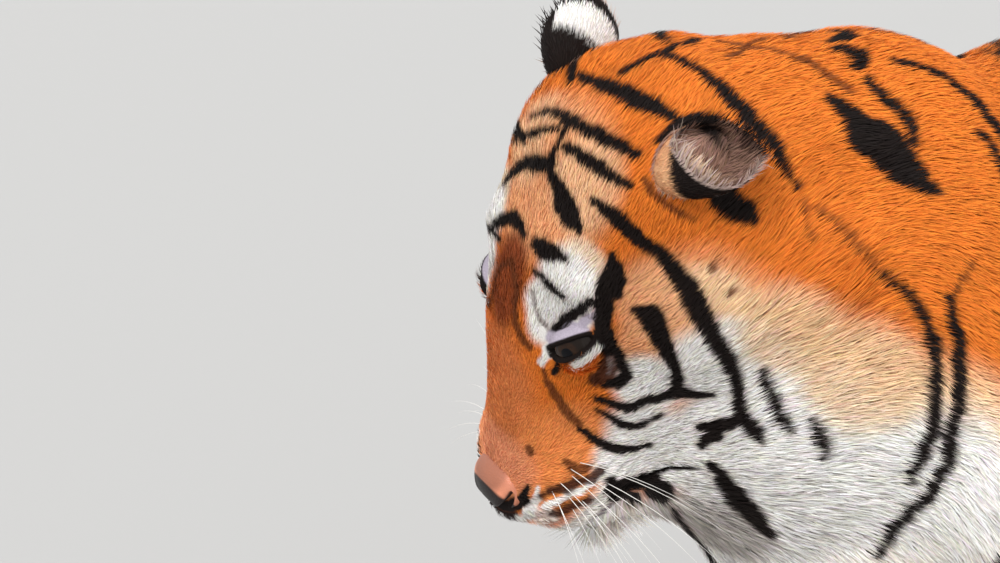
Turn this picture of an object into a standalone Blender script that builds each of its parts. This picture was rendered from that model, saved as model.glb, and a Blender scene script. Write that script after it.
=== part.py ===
"""A life-size adult tiger that stands with its neck level and its head hanging low.

Metres, +Z up. The tiger looks towards -Y, and its left side is +X.
The flesh is modelled whole, out of tubes and rounded masses that are fused and smoothed, and is
then parted by thin cuts into the pieces a person would name. The eyes and the nose pad are set in.
"""

import math

import bmesh
import bpy
import numpy as np
from mathutils import Matrix, Vector

for leftover in list(bpy.data.objects):
    bpy.data.objects.remove(leftover)

# ---------------------------------------------------------------- driving dimensions
WITHERS = 0.890  # height of the back over the shoulders
RUMP = 0.885  # height of the back over the hips
HIP_Y = 0.420  # how far behind the middle the hip joints lie
SHOULDER_Y = -0.420  # the shoulders lie as far in front
CHEST_HALF = 0.184  # half the width of the rib cage
BELLY = 0.465  # height of the lowest line of the belly
NAPE = 0.948  # height of the neck just behind the ears
HEAD_PITCH = math.radians(51.5)  # how far the line of the mouth slopes down to the front
HEAD_YAW = math.radians(8)  # how far the head turns to the animal's left
NOSE_TIP = Vector((0.045, -0.930, 0.630))  # top front edge of the nose pad
FORE_PAWS = {1: -0.360, -1: -0.560}  # y of the left and the right fore paw
HIND_PAWS = {1: 0.560, -1: 0.400}  # y of the left and the right hind paw
TAIL_RADIUS = 0.048  # at the root
EYE_RADIUS = 0.0185
EYE_PLACE = Vector((-0.136, 0.0545, 0.0445))  # centre of the left eyeball in the head's frame
EAR_ROOT = Vector((-0.281, 0.084, 0.074))  # root of the left ear in the head's frame
EAR_LENGTH, EAR_WIDTH, EAR_DEPTH = 0.080, 0.088, 0.056
EAR_POINTS = Vector((-0.66, 0.70, -0.20)).normalized()  # from the root to the tip
EAR_OPENS = Vector((0.35, 0.72, 0.60))  # where the mouth of the ear looks
GAP = 0.0004  # width of each parting cut, and of the gap round each set-in piece

BODY_VOXEL = 0.009
HEAD_VOXEL = 0.0045
SKIN_VOXEL = 0.006
FLESH_TRIANGLES = 4700
THRIFT = 0.01  # how strongly the thinning spares the head
HEAD_SHARE_RADIUS = 0.36  # the flesh this near the middle of the head keeps more triangles
SMALLEST_PIECE = 2e-6  # in cubic metres: what is smaller is a sliver of a cut

# ---------------------------------------------------------------- the head's own axes
# In the head's frame the nose tip is the origin, x runs forward along the mouth, y to the left
# and z up, square to the mouth.
TURN = Matrix.Rotation(HEAD_YAW, 3, "Z")
FORWARD = TURN @ Vector((0.0, -math.cos(HEAD_PITCH), -math.sin(HEAD_PITCH)))
UP = TURN @ Vector((0.0, -math.sin(HEAD_PITCH), math.cos(HEAD_PITCH)))
LEFT = TURN @ Vector((1.0, 0.0, 0.0))
HEAD_FRAME = Matrix.Translation(NOSE_TIP) @ Matrix((FORWARD, LEFT, UP)).transposed().to_4x4()
MIDDLE_OF_HEAD = HEAD_FRAME @ Vector((-0.19, 0.0, 0.0))


# ---------------------------------------------------------------- shape helpers
def new_object(name, bm):
    """Turns a finished bmesh into a linked object."""
    mesh = bpy.data.meshes.new(name)
    bm.normal_update()
    bm.to_mesh(mesh)
    bm.free()
    made = bpy.data.objects.new(name, mesh)
    bpy.context.scene.collection.objects.link(made)
    return made


def through(stations, steps=4):
    """Rows of numbers made denser: a Catmull-Rom curve through the stations, steps to each span."""
    rows = np.array(stations, float)
    padded = np.vstack([2 * rows[0] - rows[1], rows, 2 * rows[-1] - rows[-2]])
    dense = []
    for a, b, c, d in zip(padded[:-3], padded[1:-2], padded[2:-1], padded[3:]):
        for step in range(steps):
            t = step / steps
            dense.append(
                0.5 * (2 * b + (c - a) * t + (2 * a - 5 * b + 4 * c - d) * t**2
                       + (3 * b - a - 3 * c + d) * t**3)
            )
    dense.append(rows[-1])
    return np.array(dense)


def tube(name, stations, frame=Matrix.Identity(4), sides=24, squareness=2.2, steps=4, dome=1.0):
    """A closed tube with domed ends; dome is the domes' depth over their half width.

    Each station is a centre x, y, z and three half sizes: to the side, above and below. Above
    and below are square to the path and to the side, so on a leg they are front and back.
    """
    rows = through(stations, steps)
    centres = rows[:, :3]
    tangents = np.gradient(centres, axis=0)
    tangents /= np.linalg.norm(tangents, axis=1)[:, None]
    closing = [(math.cos(a), dome * math.sin(a)) for a in np.radians([20, 45, 68, 82])]
    first, last = rows[0], rows[-1]
    rings = [(centres[0] - tangents[0] * first[3] * out, tangents[0], first[3:] * part)
             for part, out in reversed(closing)]
    rings += list(zip(centres, tangents, rows[:, 3:]))
    rings += [(centres[-1] + tangents[-1] * last[3] * out, tangents[-1], last[3:] * part)
              for part, out in closing]
    bm = bmesh.new()
    loops = []
    for centre, tangent, (half_side, above, below) in rings:
        side = np.array([1.0, 0.0, 0.0]) if abs(tangent[0]) < 0.9 else np.array([0.0, 1.0, 0.0])
        side = side - tangent * (side @ tangent)
        side /= np.linalg.norm(side)
        rise = np.cross(side, tangent)
        ring = []
        for angle in np.linspace(0, 2 * math.pi, sides, endpoint=False):
            c, s = math.cos(angle), math.sin(angle)
            across = math.copysign(abs(c) ** (2 / squareness), c) * half_side
            upward = math.copysign(abs(s) ** (2 / squareness), s) * (above if s > 0 else below)
            ring.append(bm.verts.new(frame @ Vector(centre + side * across + rise * upward)))
        loops.append(ring)
    for ring, following in zip(loops, loops[1:]):
        for i in range(sides):
            j = (i + 1) % sides
            bm.faces.new((ring[i], ring[j], following[j], following[i]))
    bm.faces.new(reversed(loops[0]))
    bm.faces.new(loops[-1])
    bmesh.ops.recalc_face_normals(bm, faces=bm.faces)
    return new_object(name, bm)


def mass(name, centre, radii, frame=Matrix.Identity(4), turn=(0, 0, 0), detail=20):
    """A rounded mass: an ellipsoid with these radii, turned by these degrees about x, y and z."""
    bm = bmesh.new()
    bmesh.ops.create_uvsphere(bm, u_segments=detail, v_segments=detail // 2, radius=1.0)
    turned = Matrix.Identity(4)
    for degrees, axis in zip(turn, "XYZ"):
        turned = Matrix.Rotation(math.radians(degrees), 4, axis) @ turned
    bm.transform(frame @ Matrix.Translation(centre) @ turned @ Matrix.Diagonal((*radii, 1.0)))
    return new_object(name, bm)


def both_sides(make, name, centre, radii, frame=Matrix.Identity(4), turn=(0, 0, 0), axis=0):
    """The same mass on the left and, mirrored in the middle plane, on the right."""
    mirrored = list(centre)
    mirrored[axis] *= -1
    turned = [a if i == axis else -a for i, a in enumerate(turn)]
    return [make(name + "_l", centre, radii, frame, turn),
            make(name + "_r", mirrored, radii, frame, turned)]


def evaluated(obj):
    """A new mesh of the object with its modifiers carried out."""
    bpy.context.view_layer.update()
    graph = bpy.context.evaluated_depsgraph_get()
    return bpy.data.meshes.new_from_object(obj.evaluated_get(graph))


def carry_out(obj):
    """Replaces the object's mesh by its modifiers' result."""
    mesh = evaluated(obj)
    obj.modifiers.clear()
    obj.data = mesh
    return obj


def fused(name, objects, voxel, smoothing):
    """One closed skin round all these overlapping objects, smoothed so that they flow together."""
    bm = bmesh.new()
    for obj in objects:
        bm.from_mesh(obj.data)
        bpy.data.objects.remove(obj)
    made = new_object(name, bm)
    remesh = made.modifiers.new("Fuse", "REMESH")
    remesh.mode = "VOXEL"
    remesh.voxel_size = voxel
    smooth = made.modifiers.new("Flow", "SMOOTH")
    smooth.factor = 0.5
    smooth.iterations = smoothing
    return carry_out(made)


# ---------------------------------------------------------------- the body
def trunk():
    """Rib cage, loin and rump: (y, top, bottom, half width) from the rump forward to the neck."""
    outline = [
        (0.640, 0.800, 0.700, 0.055),
        (0.560, 0.862, 0.620, 0.105),
        (HIP_Y, RUMP, 0.570, 0.146),
        (0.260, 0.876, 0.545, 0.158),
        (0.080, 0.862, 0.500, CHEST_HALF - 0.010),
        (-0.100, 0.862, BELLY + 0.005, CHEST_HALF),
        (-0.280, 0.876, BELLY, CHEST_HALF),
        (SHOULDER_Y, WITHERS, 0.475, 0.168),
        (-0.540, 0.876, 0.490, 0.150),
        (-0.640, 0.876, 0.530, 0.134),
    ]
    stations = [(0.0, y, (top + low) / 2, half, (top - low) / 2, (top - low) / 2)
                for y, top, low, half in outline]
    return [tube("trunk", stations, sides=32)]


def neck():
    """A deep thick neck: (x, y, top, bottom, half width) from the shoulders to the nape."""
    outline = [
        (0.000, -0.470, 0.874, 0.480, 0.146),
        (0.004, -0.560, 0.880, 0.485, 0.146),
        (0.012, -0.630, 0.908, 0.500, 0.144),
        (0.018, -0.680, NAPE - 0.004, 0.525, 0.139),
        (0.022, -0.725, NAPE - 0.010, 0.565, 0.128),
        (0.026, -0.765, NAPE - 0.016, 0.640, 0.108),
    ]
    stations = [(x, y, (top + low) / 2, half, (top - low) / 2, (top - low) / 2)
                for x, y, top, low, half in outline]
    nape = mass("nape", (0.026, -0.742, NAPE - 0.070), (0.096, 0.150, 0.066))
    throat = mass("throat", (-0.190, 0.0, -0.130), (0.110, 0.074, 0.052), HEAD_FRAME, turn=(0, -8, 0))
    return [tube("neck", stations, sides=28, squareness=2.1, dome=0.3), nape, throat]


def shoulder_masses():
    """Shoulder blade, upper arm and the point of the chest."""
    made = both_sides(mass, "blade", (0.110, -0.365, 0.724), (0.072, 0.135, 0.172), turn=(-14, 0, 0))
    made += both_sides(mass, "upper_arm", (0.130, -0.475, 0.600), (0.068, 0.130, 0.135), turn=(22, 0, 0))
    made.append(mass("far_shoulder", (-0.116, -0.550, 0.630), (0.068, 0.130, 0.118), turn=(22, 0, 0)))
    made.append(mass("breast", (0.0, -0.640, 0.565), (0.125, 0.120, 0.125)))
    return made


def haunch_masses():
    """The muscle of the thigh and the buttock."""
    made = both_sides(mass, "haunch", (0.104, 0.430, 0.730), (0.076, 0.160, 0.155), turn=(10, 0, 0))
    made += both_sides(mass, "buttock", (0.082, 0.530, 0.705), (0.062, 0.080, 0.125))
    return made


def foreleg(name, side, paw_y):
    """Elbow, forearm, wrist and pastern; the wrist and paw swing to paw_y."""
    swing = paw_y - (SHOULDER_Y - 0.010)
    profile = [  # height, x, y, share of the swing, half width, front, back
        (0.650, 0.130, -0.460, 0.00, 0.072, 0.108, 0.110),
        (0.560, 0.138, -0.430, 0.05, 0.070, 0.094, 0.102),
        (0.480, 0.138, -0.402, 0.20, 0.065, 0.080, 0.082),
        (0.390, 0.135, -0.408, 0.42, 0.060, 0.067, 0.064),
        (0.290, 0.130, -0.420, 0.66, 0.054, 0.057, 0.054),
        (0.205, 0.126, -0.424, 0.86, 0.051, 0.053, 0.050),
        (0.130, 0.124, -0.428, 0.98, 0.052, 0.050, 0.049),
        (0.070, 0.124, -0.440, 1.00, 0.055, 0.054, 0.052),
    ]
    stations = [(side * x, y + share * swing, z, half, front, back)
                for z, x, y, share, half, front, back in profile]
    return [tube(name, stations, sides=20)] + paw(name, side * 0.124, paw_y - 0.030, 0.072, 0.096)


def hindleg(name, side, paw_y):
    """Thigh, stifle, shank, hock and the long hind foot; the hock and paw swing to paw_y."""
    swing = paw_y - 0.490
    profile = [
        (0.760, 0.090, 0.425, 0.00, 0.070, 0.125, 0.125),
        (0.670, 0.105, 0.400, 0.04, 0.072, 0.130, 0.135),
        (0.580, 0.114, 0.375, 0.12, 0.069, 0.114, 0.125),
        (0.500, 0.117, 0.375, 0.25, 0.062, 0.092, 0.098),
        (0.420, 0.116, 0.425, 0.45, 0.052, 0.070, 0.072),
        (0.340, 0.113, 0.490, 0.68, 0.045, 0.054, 0.054),
        (0.268, 0.111, 0.540, 0.85, 0.040, 0.044, 0.050),
        (0.195, 0.110, 0.545, 0.94, 0.038, 0.040, 0.042),
        (0.120, 0.110, 0.532, 0.99, 0.041, 0.040, 0.042),
        (0.065, 0.110, 0.520, 1.00, 0.047, 0.046, 0.046),
    ]
    stations = [(side * x, y + share * swing, z, half, front, back)
                for z, x, y, share, half, front, back in profile]
    return [tube(name, stations, sides=20)] + paw(name, side * 0.110, paw_y - 0.010, 0.061, 0.086)


def paw(name, x, y, half_width, half_length):
    """A broad round paw with four toes side by side; its sole lies on the floor."""
    made = [mass(name + "_pad", (x, y, 0.036), (half_width, half_length, 0.048))]
    toe_radius = half_width * 0.44
    for place in (-1.0, -0.36, 0.36, 1.0):
        ahead = half_length * (0.86 - 0.24 * place * place)
        centre = (x + place * half_width * 0.66, y - ahead, 0.026)
        made.append(mass(f"{name}_toe", centre, (toe_radius, toe_radius * 1.6, toe_radius * 1.25)))
    return made


def tail():
    """A long tail that hangs behind the hocks and lifts its tip."""
    path = [  # x, y, z and radius
        (0.000, 0.560, 0.830, TAIL_RADIUS * 1.15),
        (0.000, 0.650, 0.785, TAIL_RADIUS),
        (0.004, 0.720, 0.690, TAIL_RADIUS * 0.84),
        (0.014, 0.765, 0.570, TAIL_RADIUS * 0.76),
        (0.026, 0.795, 0.450, TAIL_RADIUS * 0.70),
        (0.038, 0.830, 0.330, TAIL_RADIUS * 0.66),
        (0.048, 0.890, 0.235, TAIL_RADIUS * 0.62),
        (0.054, 0.975, 0.195, TAIL_RADIUS * 0.58),
        (0.054, 1.055, 0.215, TAIL_RADIUS * 0.54),
    ]
    return [tube("tail", [(x, y, z, r, r, r) for x, y, z, r in path], sides=16)]


# ---------------------------------------------------------------- the head
def skull():
    """The head from the nose to the back of the skull: (x, top, bottom, half width)."""
    outline = [
        (-0.012, -0.004, -0.050, 0.034),
        (-0.040, 0.014, -0.064, 0.050),
        (-0.070, 0.034, -0.072, 0.056),
        (-0.100, 0.055, -0.080, 0.062),
        (-0.130, 0.078, -0.088, 0.076),
        (-0.160, 0.095, -0.096, 0.095),
        (-0.195, 0.107, -0.102, 0.110),
        (-0.235, 0.112, -0.102, 0.116),
        (-0.275, 0.112, -0.096, 0.112),
        (-0.310, 0.101, -0.085, 0.102),
        (-0.335, 0.084, -0.070, 0.086),
    ]
    stations = [(x, 0.0, (top + low) / 2, half, (top - low) / 2, (top - low) / 2)
                for x, top, low, half in outline]
    return [head_tube("skull", stations, 2.1, dome=0.35)]


def head_tube(name, stations, squareness=2.2, sides=28, dome=1.0):
    """A tube that runs along the head: its stations are x, y, z in the head's frame."""
    # The tube's path has to run where its side axis is x, so it is laid along -y and then turned.
    turn = Matrix(((0, -1, 0, 0), (1, 0, 0, 0), (0, 0, 1, 0), (0, 0, 0, 1)))
    laid = [(y, -x, z, side, above, below) for x, y, z, side, above, below in stations]
    return tube(name, laid, HEAD_FRAME @ turn, sides, squareness, dome=dome)


def muzzle():
    """Nose bridge, the two whisker pads, the lips, the chin and the lower jaw."""
    bridge = [  # x, top, half width
        (-0.006, -0.003, 0.026),
        (-0.034, 0.013, 0.030),
        (-0.066, 0.034, 0.033),
        (-0.100, 0.059, 0.036),
        (-0.132, 0.081, 0.042),
        (-0.165, 0.098, 0.052),
    ]
    made = [head_tube("bridge", [(x, 0.0, top - 0.022, half, 0.022, 0.030) for x, top, half in bridge],
                      2.7, 20)]
    made += both_sides(mass, "pad", (-0.045, 0.034, -0.034), (0.050, 0.036, 0.039), HEAD_FRAME,
                       turn=(0, 0, -8), axis=1)
    made += both_sides(mass, "lip", (-0.086, 0.048, -0.050), (0.046, 0.026, 0.030), HEAD_FRAME,
                       turn=(0, 0, -14), axis=1)
    made.append(mass("chin", (-0.038, 0.0, -0.085), (0.038, 0.037, 0.029), HEAD_FRAME))
    made.append(mass("lower_lip", (-0.056, 0.0, -0.068), (0.050, 0.045, 0.026), HEAD_FRAME))
    jaw = [
        (-0.055, 0.0, -0.086, 0.038, 0.024, 0.026),
        (-0.120, 0.0, -0.096, 0.054, 0.028, 0.028),
        (-0.190, 0.0, -0.102, 0.076, 0.034, 0.034),
        (-0.240, 0.0, -0.100, 0.086, 0.036, 0.036),
    ]
    made.append(head_tube("jaw", jaw, 2.3, 20))
    return made


def face_masses():
    """Brows, cheekbones, chewing muscles and the ruff that frames the face."""
    made = both_sides(mass, "brow", (-0.160, 0.048, 0.066), (0.044, 0.026, 0.022), HEAD_FRAME,
                      turn=(0, 34, -24), axis=1)
    made += both_sides(mass, "cheekbone", (-0.165, 0.072, 0.006), (0.064, 0.028, 0.036), HEAD_FRAME,
                       turn=(0, 8, -38), axis=1)
    made += both_sides(mass, "cheek", (-0.136, 0.060, -0.036), (0.080, 0.036, 0.050), HEAD_FRAME,
                       turn=(0, 0, -26), axis=1)
    made += both_sides(mass, "chewing", (-0.215, 0.082, -0.020), (0.080, 0.044, 0.068), HEAD_FRAME,
                       axis=1)
    made += both_sides(mass, "ruff", (-0.250, 0.092, -0.058), (0.082, 0.046, 0.088), HEAD_FRAME,
                       turn=(12, 10, 0), axis=1)
    made += both_sides(mass, "temple", (-0.255, 0.058, 0.064), (0.074, 0.046, 0.046), HEAD_FRAME,
                       axis=1)
    return made


def eye_place(side):
    return HEAD_FRAME @ Vector((EYE_PLACE.x, side * EYE_PLACE.y, EYE_PLACE.z))


def ear(side):
    """A round cupped ear: an ellipsoid hollowed by a smaller one that sits towards its mouth."""
    points = Vector((EAR_POINTS.x, side * EAR_POINTS.y, EAR_POINTS.z))
    opens = Vector((EAR_OPENS.x, side * EAR_OPENS.y, EAR_OPENS.z))
    opens = (opens - points * opens.dot(points)).normalized()
    across = opens.cross(points)
    root = Vector((EAR_ROOT.x, side * EAR_ROOT.y, EAR_ROOT.z))
    axes = Matrix((across, opens, points)).transposed().to_4x4()
    place = HEAD_FRAME @ Matrix.Translation(root) @ axes
    cup = mass("ear", (0, 0, EAR_LENGTH * 0.40), (EAR_WIDTH / 2, EAR_DEPTH / 2, EAR_LENGTH * 0.62),
               place, detail=14)
    hollow = mass("hollow", (0, EAR_DEPTH * 0.34, EAR_LENGTH * 0.50),
                  (EAR_WIDTH / 2 - 0.007, EAR_DEPTH * 0.52, EAR_LENGTH * 0.46), place, detail=10)
    combine(cup, hollow, "DIFFERENCE")
    bpy.data.objects.remove(hollow)
    return cup


# ---------------------------------------------------------------- fusing and parting
def combine(obj, other, operation):
    """Carries out one Boolean between two closed objects."""
    cut = obj.modifiers.new(operation.title(), "BOOLEAN")
    cut.operation = operation
    cut.object = other
    cut.solver = "EXACT"
    return carry_out(obj)


def lightened(obj, triangles):
    """Thins the mesh to about this many triangles, and leaves the head finer than the body."""
    points = np.empty(len(obj.data.vertices) * 3)
    obj.data.vertices.foreach_get("co", points)
    away = np.linalg.norm(points.reshape(-1, 3) - np.array(MIDDLE_OF_HEAD), axis=1)
    group = obj.vertex_groups.new(name="thin")
    for index, distance in enumerate(away):
        share = min(1.0, max(0.0, (distance / HEAD_SHARE_RADIUS - 0.45) / 0.55))
        group.add([index], 0.5 + 0.5 * share, "REPLACE")
    thin = obj.modifiers.new("Thin", "DECIMATE")
    thin.ratio = triangles / sum(len(p.vertices) - 2 for p in obj.data.polygons)
    thin.use_collapse_triangulate = True
    thin.vertex_group = group.name
    thin.vertex_group_factor = THRIFT
    return carry_out(obj)


def grown(obj, by):
    """A copy of a closed mesh whose every point is moved out along its normal."""
    copy = bpy.data.objects.new(obj.name + "_grown", obj.data.copy())
    bpy.context.scene.collection.objects.link(copy)
    swell = copy.modifiers.new("Swell", "DISPLACE")
    swell.strength = by
    swell.mid_level = 0.0
    return carry_out(copy)


def parting_sheet(frame, line, reach, middle=0.0):
    """A sheet as thin as the gap, bent along a line of (x, z) points and reaching out along y."""
    points = [Vector((x, 0.0, z)) for x, z in line]
    offsets = []
    for i, point in enumerate(points):
        before = (point - points[max(i - 1, 0)]).normalized()
        after = (points[min(i + 1, len(points) - 1)] - point).normalized()
        along = (before + after).normalized()
        stretch = 1.0 / max(0.3, along.dot(after if after.length else before))
        offsets.append(Vector((-along.z, 0.0, along.x)) * (GAP / 2 * stretch))
    ring = [p + o for p, o in zip(points, offsets)] + [p - o for p, o in zip(points, offsets)][::-1]
    bm = bmesh.new()
    sides = [[bm.verts.new(frame @ (p + Vector((0.0, middle + y, 0.0)))) for p in ring]
             for y in (-reach, reach)]
    bm.faces.new(sides[0])
    bm.faces.new(reversed(sides[1]))
    for i in range(len(ring)):
        j = (i + 1) % len(ring)
        bm.faces.new((sides[0][j], sides[0][i], sides[1][i], sides[1][j]))
    bmesh.ops.recalc_face_normals(bm, faces=bm.faces)
    return new_object("cutter", bm)


def block_below_floor():
    """A slab whose top is the floor: it cuts the soles flat."""
    bm = bmesh.new()
    bmesh.ops.create_cube(bm, size=1.0)
    bm.transform(Matrix.Translation((0.0, 0.0, -0.25)) @ Matrix.Diagonal((2.0, 4.0, 0.5, 1.0)))
    return new_object("cutter", bm)


def cut_away(obj, cutter):
    combine(obj, cutter, "DIFFERENCE")
    bpy.data.objects.remove(cutter)


# x runs to the animal's left, z up: a sheet in this frame reaches along the body
ACROSS = Matrix.Identity(4)
# x runs to the rear, z up: a sheet in this frame reaches from side to side
SIDEWAYS = Matrix(((0, -1, 0, 0), (1, 0, 0, 0), (0, 0, 1, 0), (0, 0, 0, 1)))

MOUTH_LINE = [(0.060, -0.052), (-0.045, -0.060), (-0.088, -0.070), (-0.104, -0.175)]
BACK_OF_HEAD = [(0.100, -0.128), (-0.215, -0.142), (-0.290, -0.120), (-0.338, -0.040), (-0.338, 0.170)]


def parting_sheets():
    """Every cut that divides the flesh into the pieces a person would name."""
    sheets = [
        parting_sheet(HEAD_FRAME, BACK_OF_HEAD, 0.21),
        parting_sheet(HEAD_FRAME, MOUTH_LINE, 0.17),
        parting_sheet(SIDEWAYS, [(-0.520, 1.10), (-0.560, 0.72), (-0.575, 0.36)], 0.30),  # neck
        parting_sheet(SIDEWAYS, [(-0.120, 1.05), (-0.150, 0.30)], 0.30),  # behind the ribs
        parting_sheet(SIDEWAYS, [(0.250, 1.05), (0.225, 0.40)], 0.30),  # before the hips
        parting_sheet(SIDEWAYS, [(0.650, 0.635), (0.775, 0.775)], 0.10),  # root of the tail
        parting_sheet(SIDEWAYS, [(0.660, 0.530), (0.860, 0.570)], 0.10),
        parting_sheet(SIDEWAYS, [(0.730, 0.270), (0.920, 0.350)], 0.10),
        parting_sheet(SIDEWAYS, [(0.945, 0.120), (0.925, 0.290)], 0.10),
    ]
    for side in (1, -1):
        armpit = [(side * 0.020, 0.380), (side * 0.260, 0.640)]
        groin = [(side * 0.004, 0.505), (side * 0.260, 0.775)]
        sheets.append(parting_sheet(ACROSS, armpit, 0.230, middle=-0.460))
        sheets.append(parting_sheet(ACROSS, groin, 0.260, middle=0.450))
        legs = Matrix.Translation((side * 0.120, 0.0, 0.0)) @ SIDEWAYS
        for paw_y in (FORE_PAWS[side], HIND_PAWS[side]):
            sheets.append(parting_sheet(legs, [(paw_y - 0.16, 0.098), (paw_y + 0.15, 0.118)], 0.10))
        knee = 0.3 * (HIND_PAWS[side] - 0.49)
        sheets.append(parting_sheet(legs, [(0.230 + knee, 0.400), (0.600 + knee, 0.485)], 0.10))
    return sheets


def parted(obj, names):
    """Splits the flesh into its loose pieces, each named after the seed point that lies nearest."""
    bm = bmesh.new()
    bm.from_mesh(obj.data)
    bmesh.ops.remove_doubles(bm, verts=bm.verts, dist=1e-6)
    bm.verts.ensure_lookup_table()
    unseen = set(bm.verts)
    groups = []
    while unseen:
        group, edge = set(), [unseen.pop()]
        while edge:
            vert = edge.pop()
            group.add(vert)
            for link in vert.link_edges:
                other = link.other_vert(vert)
                if other in unseen:
                    unseen.discard(other)
                    edge.append(other)
        groups.append(group)
    made = []
    for group in groups:
        piece = bmesh.new()
        copy = {vert: piece.verts.new(vert.co) for vert in group}
        faces = {face for vert in group for face in vert.link_faces}
        for face in faces:
            piece.faces.new([copy[vert] for vert in face.verts])
        if abs(piece.calc_volume()) < SMALLEST_PIECE:
            piece.free()
            continue
        middle = sum((vert.co for vert in piece.verts), Vector()) / len(piece.verts)
        name = min(names, key=lambda key: (Vector(names[key]) - middle).length)
        made.append(new_object(name, piece))
    bm.free()
    bpy.data.objects.remove(obj)
    return made


def piece_names():
    """A point near the middle of every piece of flesh."""
    names = {
        "head": HEAD_FRAME @ Vector((-0.20, 0.0, 0.0)),
        "jaw": HEAD_FRAME @ Vector((-0.06, 0.0, -0.10)),
        "neck": (0.01, -0.68, 0.72),
        "chest": (0.0, -0.34, 0.68),
        "loin": (0.0, 0.05, 0.68),
        "rump": (0.0, 0.42, 0.75),
        "tail_1": (0.010, 0.745, 0.620),
        "tail_2": (0.02, 0.79, 0.43),
        "tail_3": (0.05, 0.88, 0.25),
        "tail_4": (0.054, 1.00, 0.205),
    }
    for side, word in ((1, "left"), (-1, "right")):
        fore, hind = FORE_PAWS[side], HIND_PAWS[side]
        names[f"foreleg_{word}"] = (side * 0.13, (fore - 0.42) / 2, 0.33)
        names[f"forepaw_{word}"] = (side * 0.12, fore - 0.04, 0.045)
        names[f"thigh_{word}"] = (side * 0.115, 0.38, 0.56)
        names[f"shank_{word}"] = (side * 0.11, 0.49 + (hind - 0.49) * 0.75, 0.28)
        names[f"hindpaw_{word}"] = (side * 0.11, hind - 0.02, 0.045)
    return names


def body_and_head():
    body = trunk() + neck() + shoulder_masses() + haunch_masses() + tail()
    for side, word in ((1, "l"), (-1, "r")):
        body += foreleg("foreleg_" + word, side, FORE_PAWS[side])
        body += hindleg("hindleg_" + word, side, HIND_PAWS[side])
    body = fused("body", body, BODY_VOXEL, 24)
    head = fused("head", skull() + muzzle() + face_masses(), HEAD_VOXEL, 10)
    return fused("tiger", [body, head], SKIN_VOXEL, 5)


def eye(side):
    return mass("eye_left" if side > 0 else "eye_right", eye_place(side), (EYE_RADIUS,) * 3, detail=12)


def nose_pad():
    """The bare nose leather: broad above, narrower below."""
    return mass("nose", (-0.011, 0.0, -0.014), (0.014, 0.028, 0.015), HEAD_FRAME, detail=12)


COLOURS = {
    "orange": ((0.62, 0.23, 0.05), 0.85),
    "cream": ((0.80, 0.68, 0.52), 0.85),
    "white": ((0.84, 0.80, 0.74), 0.85),
    "black": ((0.03, 0.022, 0.018), 0.85),
    "nose leather": ((0.46, 0.20, 0.17), 0.45),
    "eye": ((0.42, 0.24, 0.04), 0.08),
}


def painted(obj, colour):
    """Gives the piece its own material."""
    material = bpy.data.materials.new(obj.name)
    material.use_nodes = True
    shader = material.node_tree.nodes["Principled BSDF"]
    base, roughness = COLOURS[colour]
    shader.inputs["Base Color"].default_value = (*base, 1.0)
    shader.inputs["Roughness"].default_value = roughness
    obj.data.materials.clear()
    obj.data.materials.append(material)


def stand_at_origin(objects):
    """Moves every piece so that the origin lies on the floor below the middle of the whole."""
    corners = [obj.matrix_world @ Vector(corner) for obj in objects for corner in obj.bound_box]
    middle = [(min(c[i] for c in corners) + max(c[i] for c in corners)) / 2 for i in range(2)]
    for obj in objects:
        obj.data.transform(Matrix.Translation((-middle[0], -middle[1], 0.0)))
    return middle


# ---------------------------------------------------------------- the whole animal
tiger = lightened(body_and_head(), FLESH_TRIANGLES)
cut_away(tiger, block_below_floor())

eyes = [eye(1), eye(-1)]
nose = nose_pad()
for inset in eyes + [nose]:
    cut_away(tiger, grown(inset, GAP))

ears = []
for side, word in ((1, "left"), (-1, "right")):
    pinna = ear(side)
    pinna.name = "ear_" + word
    cut_away(pinna, grown(tiger, GAP))
    ears.append(pinna)

for sheet in parting_sheets():
    cut_away(tiger, sheet)
flesh = parted(tiger, piece_names())

for piece in flesh:
    painted(piece, "orange" if "jaw" not in piece.name else "white")
for piece in ears:
    painted(piece, "black")
for piece in eyes:
    painted(piece, "eye")
painted(nose, "nose leather")
shift = stand_at_origin(flesh + ears + eyes + [nose])
print("moved by", [round(-s, 4) for s in shift])
for piece in flesh + ears + eyes + [nose]:
    print(piece.name, len(piece.data.polygons), [round(x, 3) for x in piece.dimensions])
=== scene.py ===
# %% [markdown]
# # A standing tiger
# The real animal is one skin over muscle, and what the eye meets is the coat: short flat hair on
# the face, longer hair on the ruff and belly, all of it lying from the nose towards the tail.
# The frame gives the flesh as separate solids. This lesson fuses them into one skin, sculpts the
# lids and lips into it, and then lays hundreds of thousands of small blades over it as fur.

import math

import bmesh
import bpy
import numpy as np
from mathutils import Matrix, Vector
from mathutils.kdtree import KDTree


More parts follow.
